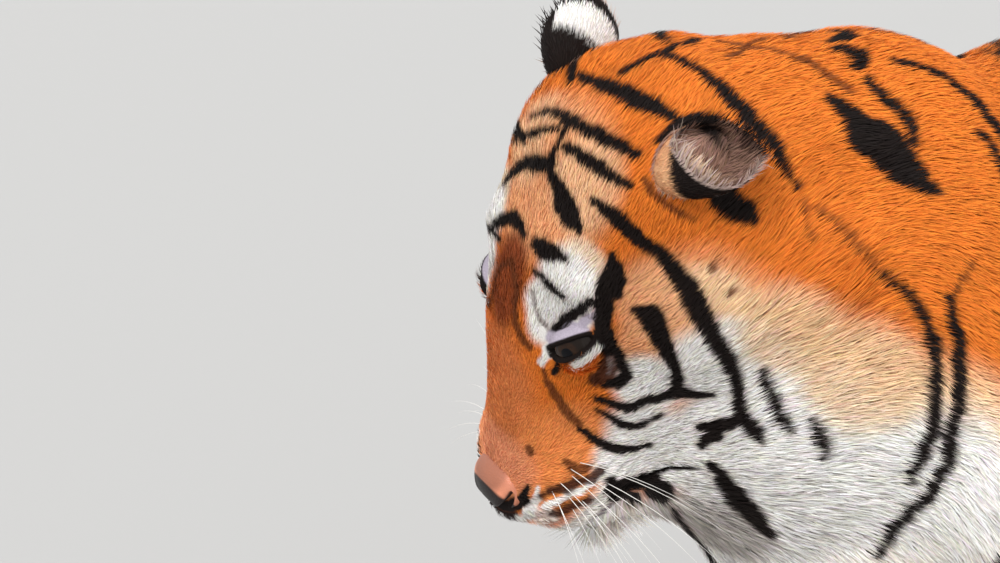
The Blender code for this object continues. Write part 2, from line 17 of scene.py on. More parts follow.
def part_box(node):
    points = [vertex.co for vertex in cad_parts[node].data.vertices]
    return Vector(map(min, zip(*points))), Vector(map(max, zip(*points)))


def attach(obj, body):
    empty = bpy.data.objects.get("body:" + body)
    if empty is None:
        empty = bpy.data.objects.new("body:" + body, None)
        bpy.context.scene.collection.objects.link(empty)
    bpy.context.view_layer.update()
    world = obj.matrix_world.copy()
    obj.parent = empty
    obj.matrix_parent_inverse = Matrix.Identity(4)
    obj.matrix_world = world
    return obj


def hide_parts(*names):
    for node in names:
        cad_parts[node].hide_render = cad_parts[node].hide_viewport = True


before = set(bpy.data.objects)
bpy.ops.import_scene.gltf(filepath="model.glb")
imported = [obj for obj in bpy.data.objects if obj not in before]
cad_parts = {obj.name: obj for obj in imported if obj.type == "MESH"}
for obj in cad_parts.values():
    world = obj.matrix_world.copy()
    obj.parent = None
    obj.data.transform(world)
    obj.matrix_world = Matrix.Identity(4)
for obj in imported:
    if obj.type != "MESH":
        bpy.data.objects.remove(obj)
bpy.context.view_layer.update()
chance = np.random.default_rng(11)

# %% [markdown]
# ## The head's own axes
# The head hangs: the line of its mouth slopes down to the front by about 52 degrees, and the
# face turns 8 degrees to the animal's left. Lids, lips and face stripes are easier to place in
# axes that belong to the head: x forward along the mouth, y to the left, z up. The nose pad's
# solid says where the head is.

# %% Head axes
PITCH, YAW = math.radians(51.5), math.radians(8)
TURN = Matrix.Rotation(YAW, 3, "Z")
HEAD_AXES = np.array([
    TURN @ Vector((0, -math.cos(PITCH), -math.sin(PITCH))),
    TURN @ Vector((1, 0, 0)),
    TURN @ Vector((0, -math.sin(PITCH), math.cos(PITCH))),
])


def middle_of(node):
    low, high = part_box(node)
    return np.array((low + high) / 2)


PAD_FROM_TIP = np.array([-0.011, 0, -0.014])
NOSE_TIP = middle_of("nose") - PAD_FROM_TIP @ HEAD_AXES


def to_head(points):
    """World points in the head's axes: subtract the nose tip, then project on each axis."""
    return (np.asarray(points) - NOSE_TIP) @ HEAD_AXES.T


def from_head(points):
    """The reverse: the head's numbers times its axes, added to the nose tip."""
    return np.asarray(points, float) @ HEAD_AXES + NOSE_TIP


print("nose tip", NOSE_TIP.round(4))

# %% [markdown]
# ## Small numpy helpers
# Every surface here is a whole array of points. These helpers serve the rest of the lesson: a
# smooth step, a mix and a smooth noise, the faces of a grid, a mesh from arrays and arrays from a
# mesh, and the averaging that rounds a surface off.

# %% Helpers for arrays
def step(value, low, high):
    """0 below low, 1 above high, and 3t^2 - 2t^3 in between."""
    t = np.clip((value - low) / (high - low), 0, 1)
    return t * t * (3 - 2 * t)


def mixed(one, two, share):
    """one where share is 0, two where it is 1."""
    return np.multiply(one, 1 - share) + np.multiply(two, share)


def sizes_of(vectors):
    return np.linalg.norm(vectors, axis=1)


def unit(vectors):
    return vectors / np.maximum(sizes_of(vectors), 1e-9)[:, None]


def ripple(points, size, seed):
    """Smooth noise of about -1 to 1: ten sines that run in random directions, summed."""
    pick = np.random.default_rng(seed)
    waves = pick.normal(size=(10, 3))
    steepness = 2 * math.pi / size * pick.uniform(0.6, 1.5, 10)
    waves *= (steepness / sizes_of(waves))[:, None]
    return np.sin(points @ waves.T + pick.uniform(0, 7, 10)).sum(axis=1) / 3.2


def grid_faces(rings, around):
    """The faces of a grid of closed rings: two points of one ring, then two of the next."""
    row, column = np.meshgrid(np.arange(rings - 1), np.arange(around), indexing="ij")
    here, beside = row * around + column, row * around + (column + 1) % around
    return np.stack([here, beside, beside + around, here + around], axis=2).reshape(-1, 4)


def new_mesh(name, points, faces):
    """A mesh object from a points array and an array of faces that all have as many corners."""
    mesh = bpy.data.meshes.new(name)
    sides = faces.shape[1]
    mesh.vertices.add(len(points))
    mesh.vertices.foreach_set("co", np.ascontiguousarray(points, np.float32).ravel())
    mesh.loops.add(faces.size)
    mesh.loops.foreach_set("vertex_index", np.ascontiguousarray(faces, np.int32).ravel())
    mesh.polygons.add(len(faces))
    mesh.polygons.foreach_set("loop_start", np.arange(0, faces.size, sides, dtype=np.int32))
    mesh.polygons.foreach_set("use_smooth", np.ones(len(faces), bool))
    mesh.update(calc_edges=True)
    piece = bpy.data.objects.new(name, mesh)
    bpy.context.scene.collection.objects.link(piece)
    return piece


def rows_of(items, key, columns, number=np.float32):
    """One property of all the items of a mesh, as the rows of an array."""
    flat = np.empty(len(items) * columns, number)
    items.foreach_get(key, flat)
    return flat.reshape(-1, columns)


def points_of(mesh):
    return rows_of(mesh.vertices, "co", 3).astype(float)


def normals_of(mesh):
    return rows_of(mesh.vertex_normals, "vector", 3).astype(float)


def edges_of(mesh):
    return rows_of(mesh.edges, "vertices", 2, np.int32)


def number_attribute(piece, name, values):
    layer = piece.data.attributes.new(name, "FLOAT", "POINT")
    layer.data.foreach_set("value", values.astype(np.float32))


def averaged(values, edges, rounds, free=0.5):
    """Each value moves by the share free towards the mean of its neighbours, rounds times."""
    one, two = edges.T
    size = len(values)
    count = np.maximum(np.bincount(edges.ravel(), minlength=size), 1)[:, None]
    for _ in range(rounds):
        total = np.stack([
            np.bincount(one, values[two, k], size) + np.bincount(two, values[one, k], size)
            for k in range(values.shape[1])
        ], axis=1)
        values = values + free * (total / count - values)
    return values


def put_points(mesh, points):
    mesh.vertices.foreach_set("co", np.ascontiguousarray(points, np.float32).ravel())
    mesh.update()


# %% [markdown]
# ## One skin from many solids
# The solids meet at thin cuts. Each is swollen by a millimetre so that the cuts close, and a
# voxel remesh then wraps one even skin round them all. The solids are faceted, so the skin is
# averaged. Plain averaging shrinks thin parts such as the tail, so what it took away is averaged
# too and given back: the broad form stays and only the facets go.

# %% Fuse the flesh
SWELL = 0.001
VOXEL = 0.0066
ROUNDING = 22
FLESH = [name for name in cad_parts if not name.startswith("ear_")]


def fused_flesh():
    together = bmesh.new()
    for name in FLESH:
        solid = bmesh.new()
        solid.from_mesh(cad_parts[name].data)
        bmesh.ops.remove_doubles(solid, verts=solid.verts, dist=1e-5)
        solid.normal_update()
        for vert in solid.verts:
            vert.co += vert.normal * SWELL
        swollen = bpy.data.meshes.new("swollen")
        solid.to_mesh(swollen)
        solid.free()
        together.from_mesh(swollen)
        bpy.data.meshes.remove(swollen)
    mesh = bpy.data.meshes.new("skin")
    together.to_mesh(mesh)
    together.free()
    skin = bpy.data.objects.new("skin", mesh)
    bpy.context.scene.collection.objects.link(skin)
    wrap = skin.modifiers.new("Wrap", "REMESH")
    wrap.mode = "VOXEL"
    wrap.voxel_size = VOXEL
    graph = bpy.context.evaluated_depsgraph_get()
    wrapped = bpy.data.meshes.new_from_object(skin.evaluated_get(graph))
    skin.modifiers.clear()
    skin.data = wrapped
    return skin


skin = fused_flesh()
raw, links = points_of(skin.data), edges_of(skin.data)
rounded = averaged(raw, links, ROUNDING)
put_points(skin.data, rounded + averaged(raw - rounded, links, ROUNDING))
print("skin", len(raw), "points")

# %% [markdown]
# ## Finer where it matters
# Lids and lips need points a millimetre apart, while seven will do on the flank. So the faces of
# the head are halved once, those round the eyes, nose and mouth twice, and the lids a third time.
# The gaps between the toes are halved once too.

# %% Halve the faces near the face
EYES = {1: middle_of("eye_left"), -1: middle_of("eye_right")}
EYE_RADIUS = 0.0185
MOUTH_MIDDLE = from_head([-0.050, 0, -0.050])
HEAD_MIDDLE = np.array([-0.17, 0, -0.005])
HALF_TOES = {"forepaw_left": 0.060, "forepaw_right": 0.060, "hindpaw_left": 0.051, "hindpaw_right": 0.051}
GAPS_AT = (-0.50, 0.0, 0.50)
GAP_WIDTH = 0.0050


def halve(near, rounds=2):
    """Cuts every edge whose two ends are near in two, then evens out the new points."""
    mesh = skin.data
    chosen = near(points_of(mesh))
    bm = bmesh.new()
    bm.from_mesh(mesh)
    cut = [e for e in bm.edges if chosen[e.verts[0].index] and chosen[e.verts[1].index]]
    bmesh.ops.subdivide_edges(bm, edges=cut, cuts=1, use_grid_fill=True)
    bm.to_mesh(mesh)
    bm.free()
    points = points_of(mesh)
    even = averaged(points, edges_of(mesh), rounds)
    share = near(points)[:, None].astype(float)
    put_points(mesh, points + share * (even - points))


def near_head(points):
    head = to_head(points)
    return (sizes_of(head - HEAD_MIDDLE) < 0.215) & (head[:, 0] > -0.36)


def near_spots(points, eye_reach, nose_reach):
    close = sizes_of(points - NOSE_TIP) < nose_reach
    for place in EYES.values():
        close |= sizes_of(points - place) < eye_reach
    return close


def toe_gaps(points):
    """1 along the middle of the gap between two toes, falling smoothly to 0 on the toes.

    Each paw has a half width over its toes, and its gaps lie at shares of that. They run back
    from the front of the paw and close in on each other.
    """
    gaps = np.zeros(len(points))
    for limb, half_width in HALF_TOES.items():
        low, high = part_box(limb)
        x, y, z = (points - [(low.x + high.x) / 2, low.y, 0]).T
        ahead = step(y, 0.080, 0.045) * step(z, 0.085, 0.062) * (np.abs(x) < 0.085) * (y > -0.03)
        closing = half_width * (1.08 - 3.5 * y)
        for share in GAPS_AT:
            gaps = np.maximum(gaps, ahead * np.exp(-((x - share * closing) / GAP_WIDTH) ** 2))
    return gaps


halve(lambda p: toe_gaps(p) > 0.01, 1)
halve(near_head, 3)
halve(lambda p: near_spots(p, 0.040, 0.050) | (sizes_of(p - MOUTH_MIDDLE) < 0.075))
halve(lambda p: near_spots(p, 0.027, 0.0))
print("refined skin", len(skin.data.vertices), "points", len(skin.data.polygons), "faces")

# %% [markdown]
# ## How long and how deep the coat is
# The hair here is six millimetres long on the nose, nine on the brow, and nearly three
# centimetres on the ruff and belly. A short list of places, each with its hair length and the
# depth of the lying coat, is blended by distance into one smooth rule. The skin is drawn in by
# that depth, so that the tips of the hair reach the outline of the solids.

# %% The rule of the coat
HEAD_COAT = {  # place: where (x, y, z) in the head's axes, the hair's length, the coat's depth
    "bridge": ((-0.06, 0, 0.03), 0.006, 0.0022),
    "lip": ((-0.05, 0.05, -0.03), 0.007, 0.0026),
    "brow": ((-0.17, 0, 0.09), 0.009, 0.0035),
    "crown": ((-0.28, 0, 0.10), 0.011, 0.0042),
    "cheek": ((-0.14, 0.09, -0.01), 0.011, 0.0040),
    "ruff": ((-0.23, 0.13, -0.09), 0.026, 0.0085),
    "chin": ((-0.04, 0, -0.10), 0.016, 0.0060),
    "throat": ((-0.15, 0, -0.15), 0.022, 0.0075),
}
BODY_COAT = {  # the same in world axes, and which way the hair lies
    "nape": ((0.02, -0.72, 0.93), 0.016, 0.0058, (0, 1, -0.05)),
    "neck_left": ((0.15, -0.68, 0.75), 0.018, 0.0062, (-0.1, 0.8, -0.6)),
    "neck_right": ((-0.14, -0.68, 0.75), 0.018, 0.0062, (0.1, 0.8, -0.6)),
    "breast": ((0.0, -0.72, 0.55), 0.024, 0.0080, (0, 0.5, -0.8)),
    "withers": ((0.0, -0.45, 0.88), 0.018, 0.0062, (0, 1, 0)),
    "shoulder_left": ((0.17, -0.45, 0.68), 0.017, 0.0058, (0, 0.6, -0.8)),
    "shoulder_right": ((-0.17, -0.45, 0.68), 0.017, 0.0058, (0, 0.6, -0.8)),
    "back": ((0.0, 0.0, 0.86), 0.018, 0.0062, (0, 1, 0)),
    "flank_left": ((0.18, -0.05, 0.66), 0.018, 0.0062, (0, 1, -0.35)),
    "flank_right": ((-0.18, -0.05, 0.66), 0.018, 0.0062, (0, 1, -0.35)),
    "belly": ((0.0, 0.0, 0.47), 0.028, 0.0095, (0, 1, -0.1)),
    "rump": ((0.0, 0.42, 0.87), 0.018, 0.0062, (0, 1, -0.1)),
    "thigh_left": ((0.17, 0.38, 0.62), 0.017, 0.0058, (0, 0.45, -0.9)),
    "thigh_right": ((-0.17, 0.38, 0.62), 0.017, 0.0058, (0, 0.45, -0.9)),
    "foreleg_left": ((0.13, -0.47, 0.30), 0.014, 0.0050, (0, 0.1, -1)),
    "foreleg_right": ((-0.13, -0.58, 0.30), 0.014, 0.0050, (0, 0.1, -1)),
    "shank_left": ((0.11, 0.46, 0.30), 0.015, 0.0055, (0, 0.1, -1)),
    "shank_right": ((-0.11, 0.33, 0.30), 0.015, 0.0055, (0, 0.1, -1)),
    "fore_toes_left": ((0.12, -0.52, 0.05), 0.008, 0.0030, (0, -1, -0.4)),
    "fore_toes_right": ((-0.12, -0.72, 0.05), 0.008, 0.0030, (0, -1, -0.4)),
    "hind_toes_left": ((0.11, 0.42, 0.05), 0.008, 0.0030, (0, -1, -0.4)),
    "hind_toes_right": ((-0.11, 0.26, 0.05), 0.008, 0.0030, (0, -1, -0.4)),
    "tail_top": ((0.0, 0.62, 0.68), 0.018, 0.0065, (0, 0.4, -0.9)),
    "tail_middle": ((0.02, 0.73, 0.42), 0.018, 0.0065, (0, 0.25, -1)),
    "tail_low": ((0.05, 0.84, 0.19), 0.018, 0.0065, (0, 1, -0.35)),
    "tail_tip": ((0.054, 0.97, 0.14), 0.020, 0.0070, (0, 1, 0.3)),
}
SOLE_LIFT = 0.0008


def sides_of(place):
    """Both sides for a place beside the middle of the head, one for a place on it."""
    return (1, -1) if place[1] else (1,)


rules = [(from_head(np.array(place) * [1, side, 1]), length, depth, (0, 0, 0))
         for place, length, depth in HEAD_COAT.values() for side in sides_of(place)]
rules.extend(BODY_COAT.values())
PLACES, LENGTHS, DEPTHS, WAYS = (np.array(column, float) for column in zip(*rules))
SIZES = np.column_stack([LENGTHS, DEPTHS])


def coat_rule(points):
    """The hair's length, the coat's depth and the lie: each place counts as 1 / distance^5.

    The places of the head give no way to lie: there it runs straight away from the nose tip.
    """
    away = np.linalg.norm(points[:, None] - PLACES[None], axis=2)
    weight = 1 / (away + 0.01) ** 5
    weight /= weight.sum(axis=1, keepdims=True)
    length, depth = (weight @ SIZES).T
    from_nose = unit(points - NOSE_TIP + HEAD_AXES[2] * 0.01)
    of_head = weight @ (~WAYS.any(axis=1)).astype(float)
    return length, depth, weight @ unit(WAYS) + from_nose * of_head[:, None]


def in_blocks(rule, *arrays, size=40000):
    """Works a rule through long arrays in blocks, so that no table grows too large."""
    parts = [rule(*(a[i:i + size] for a in arrays)) for i in range(0, len(arrays[0]), size)]
    if isinstance(parts[0], tuple):
        return [np.concatenate(column) for column in zip(*parts)]
    return np.concatenate(parts)


points, normals = points_of(skin.data), normals_of(skin.data)
_, depth, _ = in_blocks(coat_rule, points)
depth = depth * step(points[:, 2], 0.003, 0.020)
points -= averaged(normals, edges_of(skin.data), 4) * (SWELL + depth)[:, None]
points[:, 2] = np.maximum(points[:, 2], SOLE_LIFT)
put_points(skin.data, points)
print("coat depth in mm", (depth.min() * 1000).round(1), "to", (depth.max() * 1000).round(1))

# %% [markdown]
# ## The eyelids
# A big cat's eye is a ball of 37 mm, of which a slit shows. The slit is tilted, with its inner
# corner towards the nose, and here it is half closed because the animal looks down. Skin points
# near the ball are moved along their own line from its centre: to just outside the ball where
# there is lid, and to inside it where the slit is open, so that the lids get thick round rims.

# %% Sculpt the lids
SLIT = {}
for side in (1, -1):
    across = np.array([-0.76, side * 0.64, -0.08])
    facing = np.array([0.43, side * 0.585, 0.685])
    across /= np.linalg.norm(across)
    facing -= across * (across @ facing)
    facing /= np.linalg.norm(facing)
    upward = np.cross(facing, across) * side
    SLIT[side] = np.array([across, upward, facing]) @ HEAD_AXES
LID_HALF = 0.0165
LID_THICK, SKIN_THICK = 0.0026, 0.0022
CREASE_DEPTH, RIM_HEIGHT, OPEN_DEPTH = 0.0009, 0.0012, 0.0090


def on_lid(points, side):
    """The point's place on the lids, in metres from the middle of the slit.

    It is projected on the eyeball: u runs to the outer corner and v towards the brow. facing is
    the cosine between the point and the way the eye looks, reach the distance from the ball's
    middle.
    """
    away = (points - EYES[side]) @ SLIT[side].T
    reach = sizes_of(away)
    on_ball = away / reach[:, None] * EYE_RADIUS
    return on_ball[:, 0], on_ball[:, 1], on_ball[:, 2] / EYE_RADIUS, reach


def slit_depth(u, v):
    """How far inside the open slit a place lies: between two arches, or past a corner."""
    arch = np.sqrt(np.clip(1 - (u / LID_HALF) ** 2, 0, 1))
    upper = 0.0052 * arch ** 0.6 + 0.0008 - 0.04 * u
    lower = 0.0046 * arch ** 1.3 - 0.0006 + 0.04 * u
    inside = np.minimum(upper - v, v + lower)
    past = -np.hypot(np.abs(u) - LID_HALF, v - 0.0007 + 0.04 * u)
    return np.where(np.abs(u) < LID_HALF, inside, past)


def near_eyes(points, within):
    """For each eye its side, which points lie within that distance, and their places on its lids."""
    for side, middle in EYES.items():
        near = np.flatnonzero(sizes_of(points - middle) < within)
        yield side, near, on_lid(points[near], side)


points = points_of(skin.data)
before = points.copy()
for side, near, (u, v, facing, reach) in near_eyes(points, 0.045):
    open_by = slit_depth(u, v)
    lid = EYE_RADIUS + LID_THICK - CREASE_DEPTH * step(v, 0.010, 0.014) * step(v, 0.019, 0.014)
    lid += RIM_HEIGHT * step(open_by, -0.0040, -0.0015) * step(open_by, 0.0002, -0.0010)
    lid -= OPEN_DEPTH * step(open_by, -0.0003, 0.0014)
    hold = step(np.hypot(u, v), 0.0185, 0.0150) * (facing > 0.05)
    outside = np.maximum(reach, (EYE_RADIUS + SKIN_THICK) * (facing > -0.1))
    target = mixed(outside, lid, hold)
    points[near] = EYES[side] + (points[near] - EYES[side]) * (target / reach)[:, None]
round_eyes = near_spots(points, 0.036, 0.0)
eased = averaged(points, edges_of(skin.data), 2, 0.35)
points[round_eyes] = eased[round_eyes]
put_points(skin.data, points)
print("lids moved", int((np.abs(points - before).max(axis=1) > 1e-4).sum()), "points")

# %% [markdown]
# ## Mouth, nose wings and chin
# The mouth is a groove that runs back under the whisker pads and turns down at the corner. Rows
# of low swellings mark where the whiskers leave the pads, and a shallow furrow runs down from
# the nose pad to the lip.

# %% Sculpt the mouth
MOUTH_X = np.array([0.010, -0.014, -0.040, -0.066, -0.090, -0.108])
MOUTH_Z = np.array([-0.052, -0.055, -0.061, -0.066, -0.072, -0.088])
GROOVE_DEPTH, GROOVE_WIDTH, FURROW_DEPTH, FURROW_WIDTH = 0.0045, 0.0028, 0.0030, 0.0022
LIP_HEIGHT, PAD_HEIGHT, PAD_ROW = 0.0020, 0.0009, 0.0095


def mouth_distance(head):
    """How far below or above the line of the mouth, and 1 where there is a mouth at all."""
    x, y, z = head.T
    line = np.interp(-x, -MOUTH_X, MOUTH_Z)
    return z - line, step(x, -0.110, -0.098) * (np.abs(y) < 0.09) * (z < 0.0)


points, normals = points_of(skin.data), normals_of(skin.data)
head = to_head(points)
x, y, z = head.T
gap, here = mouth_distance(head)
groove = GROOVE_DEPTH * np.exp(-(gap / GROOVE_WIDTH) ** 2) * here
lips = LIP_HEIGHT * np.exp(-((np.abs(gap) - 0.008) / 0.005) ** 2) * here * step(x, -0.095, -0.06)
furrow = FURROW_DEPTH * np.exp(-(y / FURROW_WIDTH) ** 2) * step(z, -0.018, -0.030)
furrow = furrow * step(z, -0.058, -0.048) * step(x, -0.05, -0.03)
pads = PAD_HEIGHT * np.cos(z * 2 * math.pi / PAD_ROW) * step(np.abs(y), 0.018, 0.030)
pads = pads * step(x, -0.085, -0.065) * step(z, -0.054, -0.046) * step(z, -0.004, -0.012)
points += normals * (lips + pads - groove - furrow)[:, None]
put_points(skin.data, points)
print("mouth groove reaches", (groove.max() * 1000).round(1), "mm")

# %% [markdown]
# ## Toes
# Four toes lie side by side on every paw. The gaps between them are grooves in the skin, a few
# millimetres deep, that the short hair of the foot follows.

# %% Part the toes
TOE_GAP_DEPTH = 0.0085
points, normals = points_of(skin.data), normals_of(skin.data)
gaps = toe_gaps(points)
points -= normals * (TOE_GAP_DEPTH * gaps)[:, None]
put_points(skin.data, points)
print("toe gaps move", int((gaps > 0.1).sum()), "points")

# %% [markdown]
# ## The ears
# A tiger's ear is a round cup on a short stalk, open to the front and side. The cup here is an
# ellipsoid cut by a slanting rim: each ring runs from the root to the rim on the outside, over
# the edge, and back down the inside. Both cups join the skin's own mesh.

# %% Ears
EAR_LENGTH, EAR_WIDTH, EAR_DEPTH, EAR_WALL = 0.075, 0.077, 0.054, 0.0030
EAR_ROOT_ANGLE, OUTSIDE, INSIDE, RIM = math.radians(14), 1, 2, 3


def ear_root(side):
    return from_head([-0.283, side * 0.077, 0.082])


def ear_axes(side):
    """Across the ear, the way its mouth looks, and from root to tip, in world axes.

    The left ear is turned up and back a little, so that its mouth looks up.
    """
    points_to = np.array([-0.66, side * 0.70, -0.20])
    points_to /= np.linalg.norm(points_to)
    opens = np.array([-0.57, -0.09, 0.82]) if side > 0 else np.array([0.38, -0.91, 0.17])
    opens -= points_to * (points_to @ opens)
    opens /= np.linalg.norm(opens)
    return np.array([np.cross(opens, points_to), opens, points_to]) @ HEAD_AXES


def ear_surface(side, rings=44, around=64):
    """The cup: half width x sin(a) cos(f), half depth x sin(a) sin(f), half length x -cos(a).

    a runs from the root out to a rim that stands high at the back, f runs round the ear, and the
    second half of the rings comes back inside, smaller by the wall. The sizes leave room for the
    ear's own hair.
    """
    t = np.linspace(0, 2, rings)[:, None]
    f = np.linspace(0, 2 * math.pi, around, endpoint=False)[None]
    back = (1 - np.sin(f)) / 2
    rim = math.radians(62) + math.radians(84) * back ** 0.8 + 0.05 * np.sin(3 * f + 1)
    out = np.minimum(t, 1)
    into = np.maximum(t - 1, 0)
    a = EAR_ROOT_ANGLE + (rim - EAR_ROOT_ANGLE) * (out - 0.93 * into)
    wall = 0.0012 + EAR_WALL * np.sin(np.clip(into * 6, 0, 1) * math.pi / 2)
    half_wide = EAR_WIDTH / 2 - 0.003 - wall
    half_deep = EAR_DEPTH / 2 - 0.002 - wall
    half_long = EAR_LENGTH * 0.62 - 0.003 - wall
    bend = 0.10 * EAR_DEPTH * (1 + np.cos(f * 2)) * step(a, 1.4, 2.4)
    local = np.stack([
        half_wide * np.sin(a) ** 0.8 * np.cos(f) + 0 * t,
        half_deep * np.sin(a) * np.sin(f) - bend * 0.4,
        EAR_LENGTH * 0.40 - half_long * np.cos(a) + 0 * f,
    ], axis=2)
    placed = local.reshape(-1, 3) @ ear_axes(side) + ear_root(side)
    faces = grid_faces(rings, around)
    part = np.where(np.abs(t - 1) < 0.07, RIM, np.where(t > 1, INSIDE, OUTSIDE)) + 0 * f
    return placed, faces if side < 0 else faces[:, ::-1], part.reshape(-1)


ears = []
for side in (1, -1):
    placed, faces, part = ear_surface(side)
    ear = new_mesh("ear", placed, faces)
    if normals_of(ear.data)[200] @ (placed[200] - placed[:2000].mean(axis=0)) < 0:
        ear.data.flip_normals()
    number_attribute(ear, "kind", part)
    ears.append(ear)
skin.data.attributes.new("kind", "FLOAT", "POINT")
with bpy.context.temp_override(active_object=skin, selected_editable_objects=[skin, *ears]):
    bpy.ops.object.join()
skin.name = skin.data.name = "skin"
skin.data.shade_smooth()
print("skin with ears", len(skin.data.vertices), "points")

# %% [markdown]
# ## The markings
# Stripes grow in the skin as well as in the hair, so one rule serves both. On the head each
# stripe is a stroke: a line through a few places, thick in the middle and thin at its ends. The
# strokes are laid on the skin itself, so a place only has to be about right. Most of them come
# in pairs, left and right. Each place is x, y and z in the head's axes, in centimetres, and then
# half the width of the stroke, in millimetres.

# %% Strokes of the head
BLACK_PAIRS = {
    "temple to ruff": [
        (-23, 5, 10.5, 2), (-23, 8, 10, 6), (-22.5, 10, 6.5, 5), (-21.5, 11, 3.2, 8), (-19.5, 12, 0, 7),
        (-17.5, 11.5, -4.5, 5), (-15.5, 11.5, -6.5, 5), (-14.8, 11.8, -8.3, 6.5), (-14.5, 12, -9.5, 3),
    ],
    "hook at its end": [(-15, 11.5, -7.2, 4), (-13.5, 10.6, -6.4, 7), (-13, 10, -5.6, 4)],
    "below the hook": [(-13, 10.5, -6.8, 6), (-11.8, 9.8, -6.6, 4)],
    "wedge over the eye": [
        (-20.6, 8, 8.5, 2), (-19.5, 8.3, 7.6, 8), (-18.5, 8.4, 7, 10), (-17, 8, 7, 5),
    ],
    "wedge to corner": [(-17.5, 8.3, 6.6, 5), (-16.4, 8.1, 5.8, 4.5), (-15.4, 7.9, 5.1, 4.5)],
    "line in the brow": [(-16, 2.7, 9.5, 2), (-16, 4.5, 9.2, 3), (-15.6, 6.3, 8.5, 2)],
    "round the eye": [
        (-16.4, 8, 6, 4), (-15, 8, 4.5, 5.5), (-14.5, 8.3, 3, 4), (-13, 7.8, 1.2, 5),
        (-12, 7.2, 1.1, 5), (-11.7, 7, 1.5, 3),
    ],
    "crease over the lid": [
        (-13.2, 4.8, 6.5, 2.5), (-14.3, 5.5, 6.7, 4), (-15.5, 6.3, 6.8, 4), (-16.8, 7.2, 7, 3),
    ],
    "beside the eye": [
        (-17, 7.8, 6.4, 5), (-16, 7.6, 5.6, 5), (-15.2, 7.5, 4.8, 6), (-14.6, 7.8, 3.9, 7),
    ],
    "wing of the nose": [
        (0.5, 1, -1.6, 5), (-0.3, 2.5, -1.5, 5), (-1.2, 3.4, -1.1, 4.5), (-2.1, 3.9, -0.4, 2),
    ],
    "tear": [(-12.3, 5.7, 5.6, 4), (-11.4, 5.5, 5.0, 4.5), (-10.5, 5.2, 4.5, 2.5)],
    "drop on the cheek": [
        (-18, 9.4, 5, 3), (-18.3, 10, 4.2, 9), (-17.5, 10.4, 3, 8), (-16.6, 10.8, 1, 5),
        (-15.5, 10.8, -0.5, 4), (-14.5, 10.2, -1.6, 5),
    ],
    "bar of the cheek": [
        (-10.7, 6.5, 1, 2), (-11.2, 7.6, -0.5, 4), (-12.5, 8.8, -1, 4), (-14, 9.8, -1.8, 5),
        (-14.6, 10.2, -2.3, 7), (-15, 10.5, -3, 5), (-15.6, 10.7, -4, 3),
    ],
    "under the bar": [
        (-10, 6.5, 0.3, 2), (-10, 7.5, -1.8, 3.5), (-10.8, 8.3, -2.5, 3), (-12.3, 9.2, -2.5, 1.5),
    ],
    "over the lip": [(-8.2, 5.6, 0, 2), (-8, 6.3, -1.9, 4), (-8.3, 7, -3.3, 4), (-9.7, 7.8, -4.3, 2)],
    "ruff, first": [(-19, 12, -5.5, 2), (-17, 12.5, -8.7, 5), (-16, 12.6, -11, 2)],
    "ruff, second": [(-18, 13.2, -11.2, 2), (-16.8, 13.2, -12.8, 6), (-15.6, 13.1, -14.4, 2)],
    "corner of the mouth": [
        (-5.8, 6.8, -4.3, 3), (-6.2, 6.2, -6, 8), (-7, 6.3, -7.3, 13), (-7, 6.3, -8.6, 12),
        (-6, 5.4, -9.8, 9),
    ],
    "under that corner": [(-5.2, 6.5, -4.8, 4), (-5, 5, -7.5, 9), (-4.5, 3.5, -10, 7)],
    "throat, outer": [
        (-10.8, 10, -8.6, 3.5), (-10, 9.8, -11, 7.5), (-9, 9.5, -14, 9.5), (-8, 9.2, -17.5, 4),
    ],
    "throat, inner": [(-5.8, 5.7, -11.4, 3), (-4.5, 3.5, -15, 5), (-2.3, -0.5, -22.6, 6)],
}
BLACK_LEFT = {
    "crown": [(-29, -4.5, 10.3, 3.5), (-30, 0, 10.4, 7), (-30.6, 2.6, 10, 8), (-31.3, 5.8, 9, 3)],
    "crown, back": [(-31.3, -1.4, 9.9, 3.5), (-33.8, -0.8, 8.1, 3.5), (-36, -2, 5, 3.5)],
    "forehead, high": [
        (-26.2, -0.7, 12.2, 4), (-27, 2, 11.8, 5.5), (-27.2, 4, 11, 4.5), (-27.6, 6.5, 10.6, 4),
    ],
    "forehead, low": [(-24.8, 1.2, 12.3, 3.5), (-25.1, 4, 11.2, 5), (-25.4, 7.6, 10.4, 2.5)],
    "drop": [(-22.5, 1, 11.6, 3.5), (-21.5, 2.8, 10.8, 9), (-21, 4.3, 10.3, 8), (-20.7, 5.1, 10, 3.5)],
    "drop by the brow": [(-17.7, 1.8, 10.2, 4), (-17.8, 3, 10, 7.5), (-18.4, 5.2, 9.6, 2)],
    "before the ear": [
        (-29.2, 6.8, 9.8, 3), (-30.2, 6.6, 9, 6.5), (-31.4, 6.5, 8, 6.5), (-32.6, 6.6, 6.4, 3),
    ],
    # A black patch below the ear: painted shade of the ear, together with the black of the ear's back
    # painted on the head skin.
    "ear back and painted shade under the ear": [
        (-28.2, 9.9, 5.6, 5), (-28.2, 10, 4.4, 11), (-28.2, 10.2, 3, 10), (-28, 10.3, 1.8, 4),
    ],
    "behind the ear": [
        (-33.8, -0.6, 8.2, 3), (-34.8, 2.5, 7.3, 4), (-34.5, 5.5, 6, 6), (-33.5, 8, 3.6, 7),
        (-32.5, 9.5, 1.3, 4), (-31.5, 10, -0.3, 2.5),
    ],
}
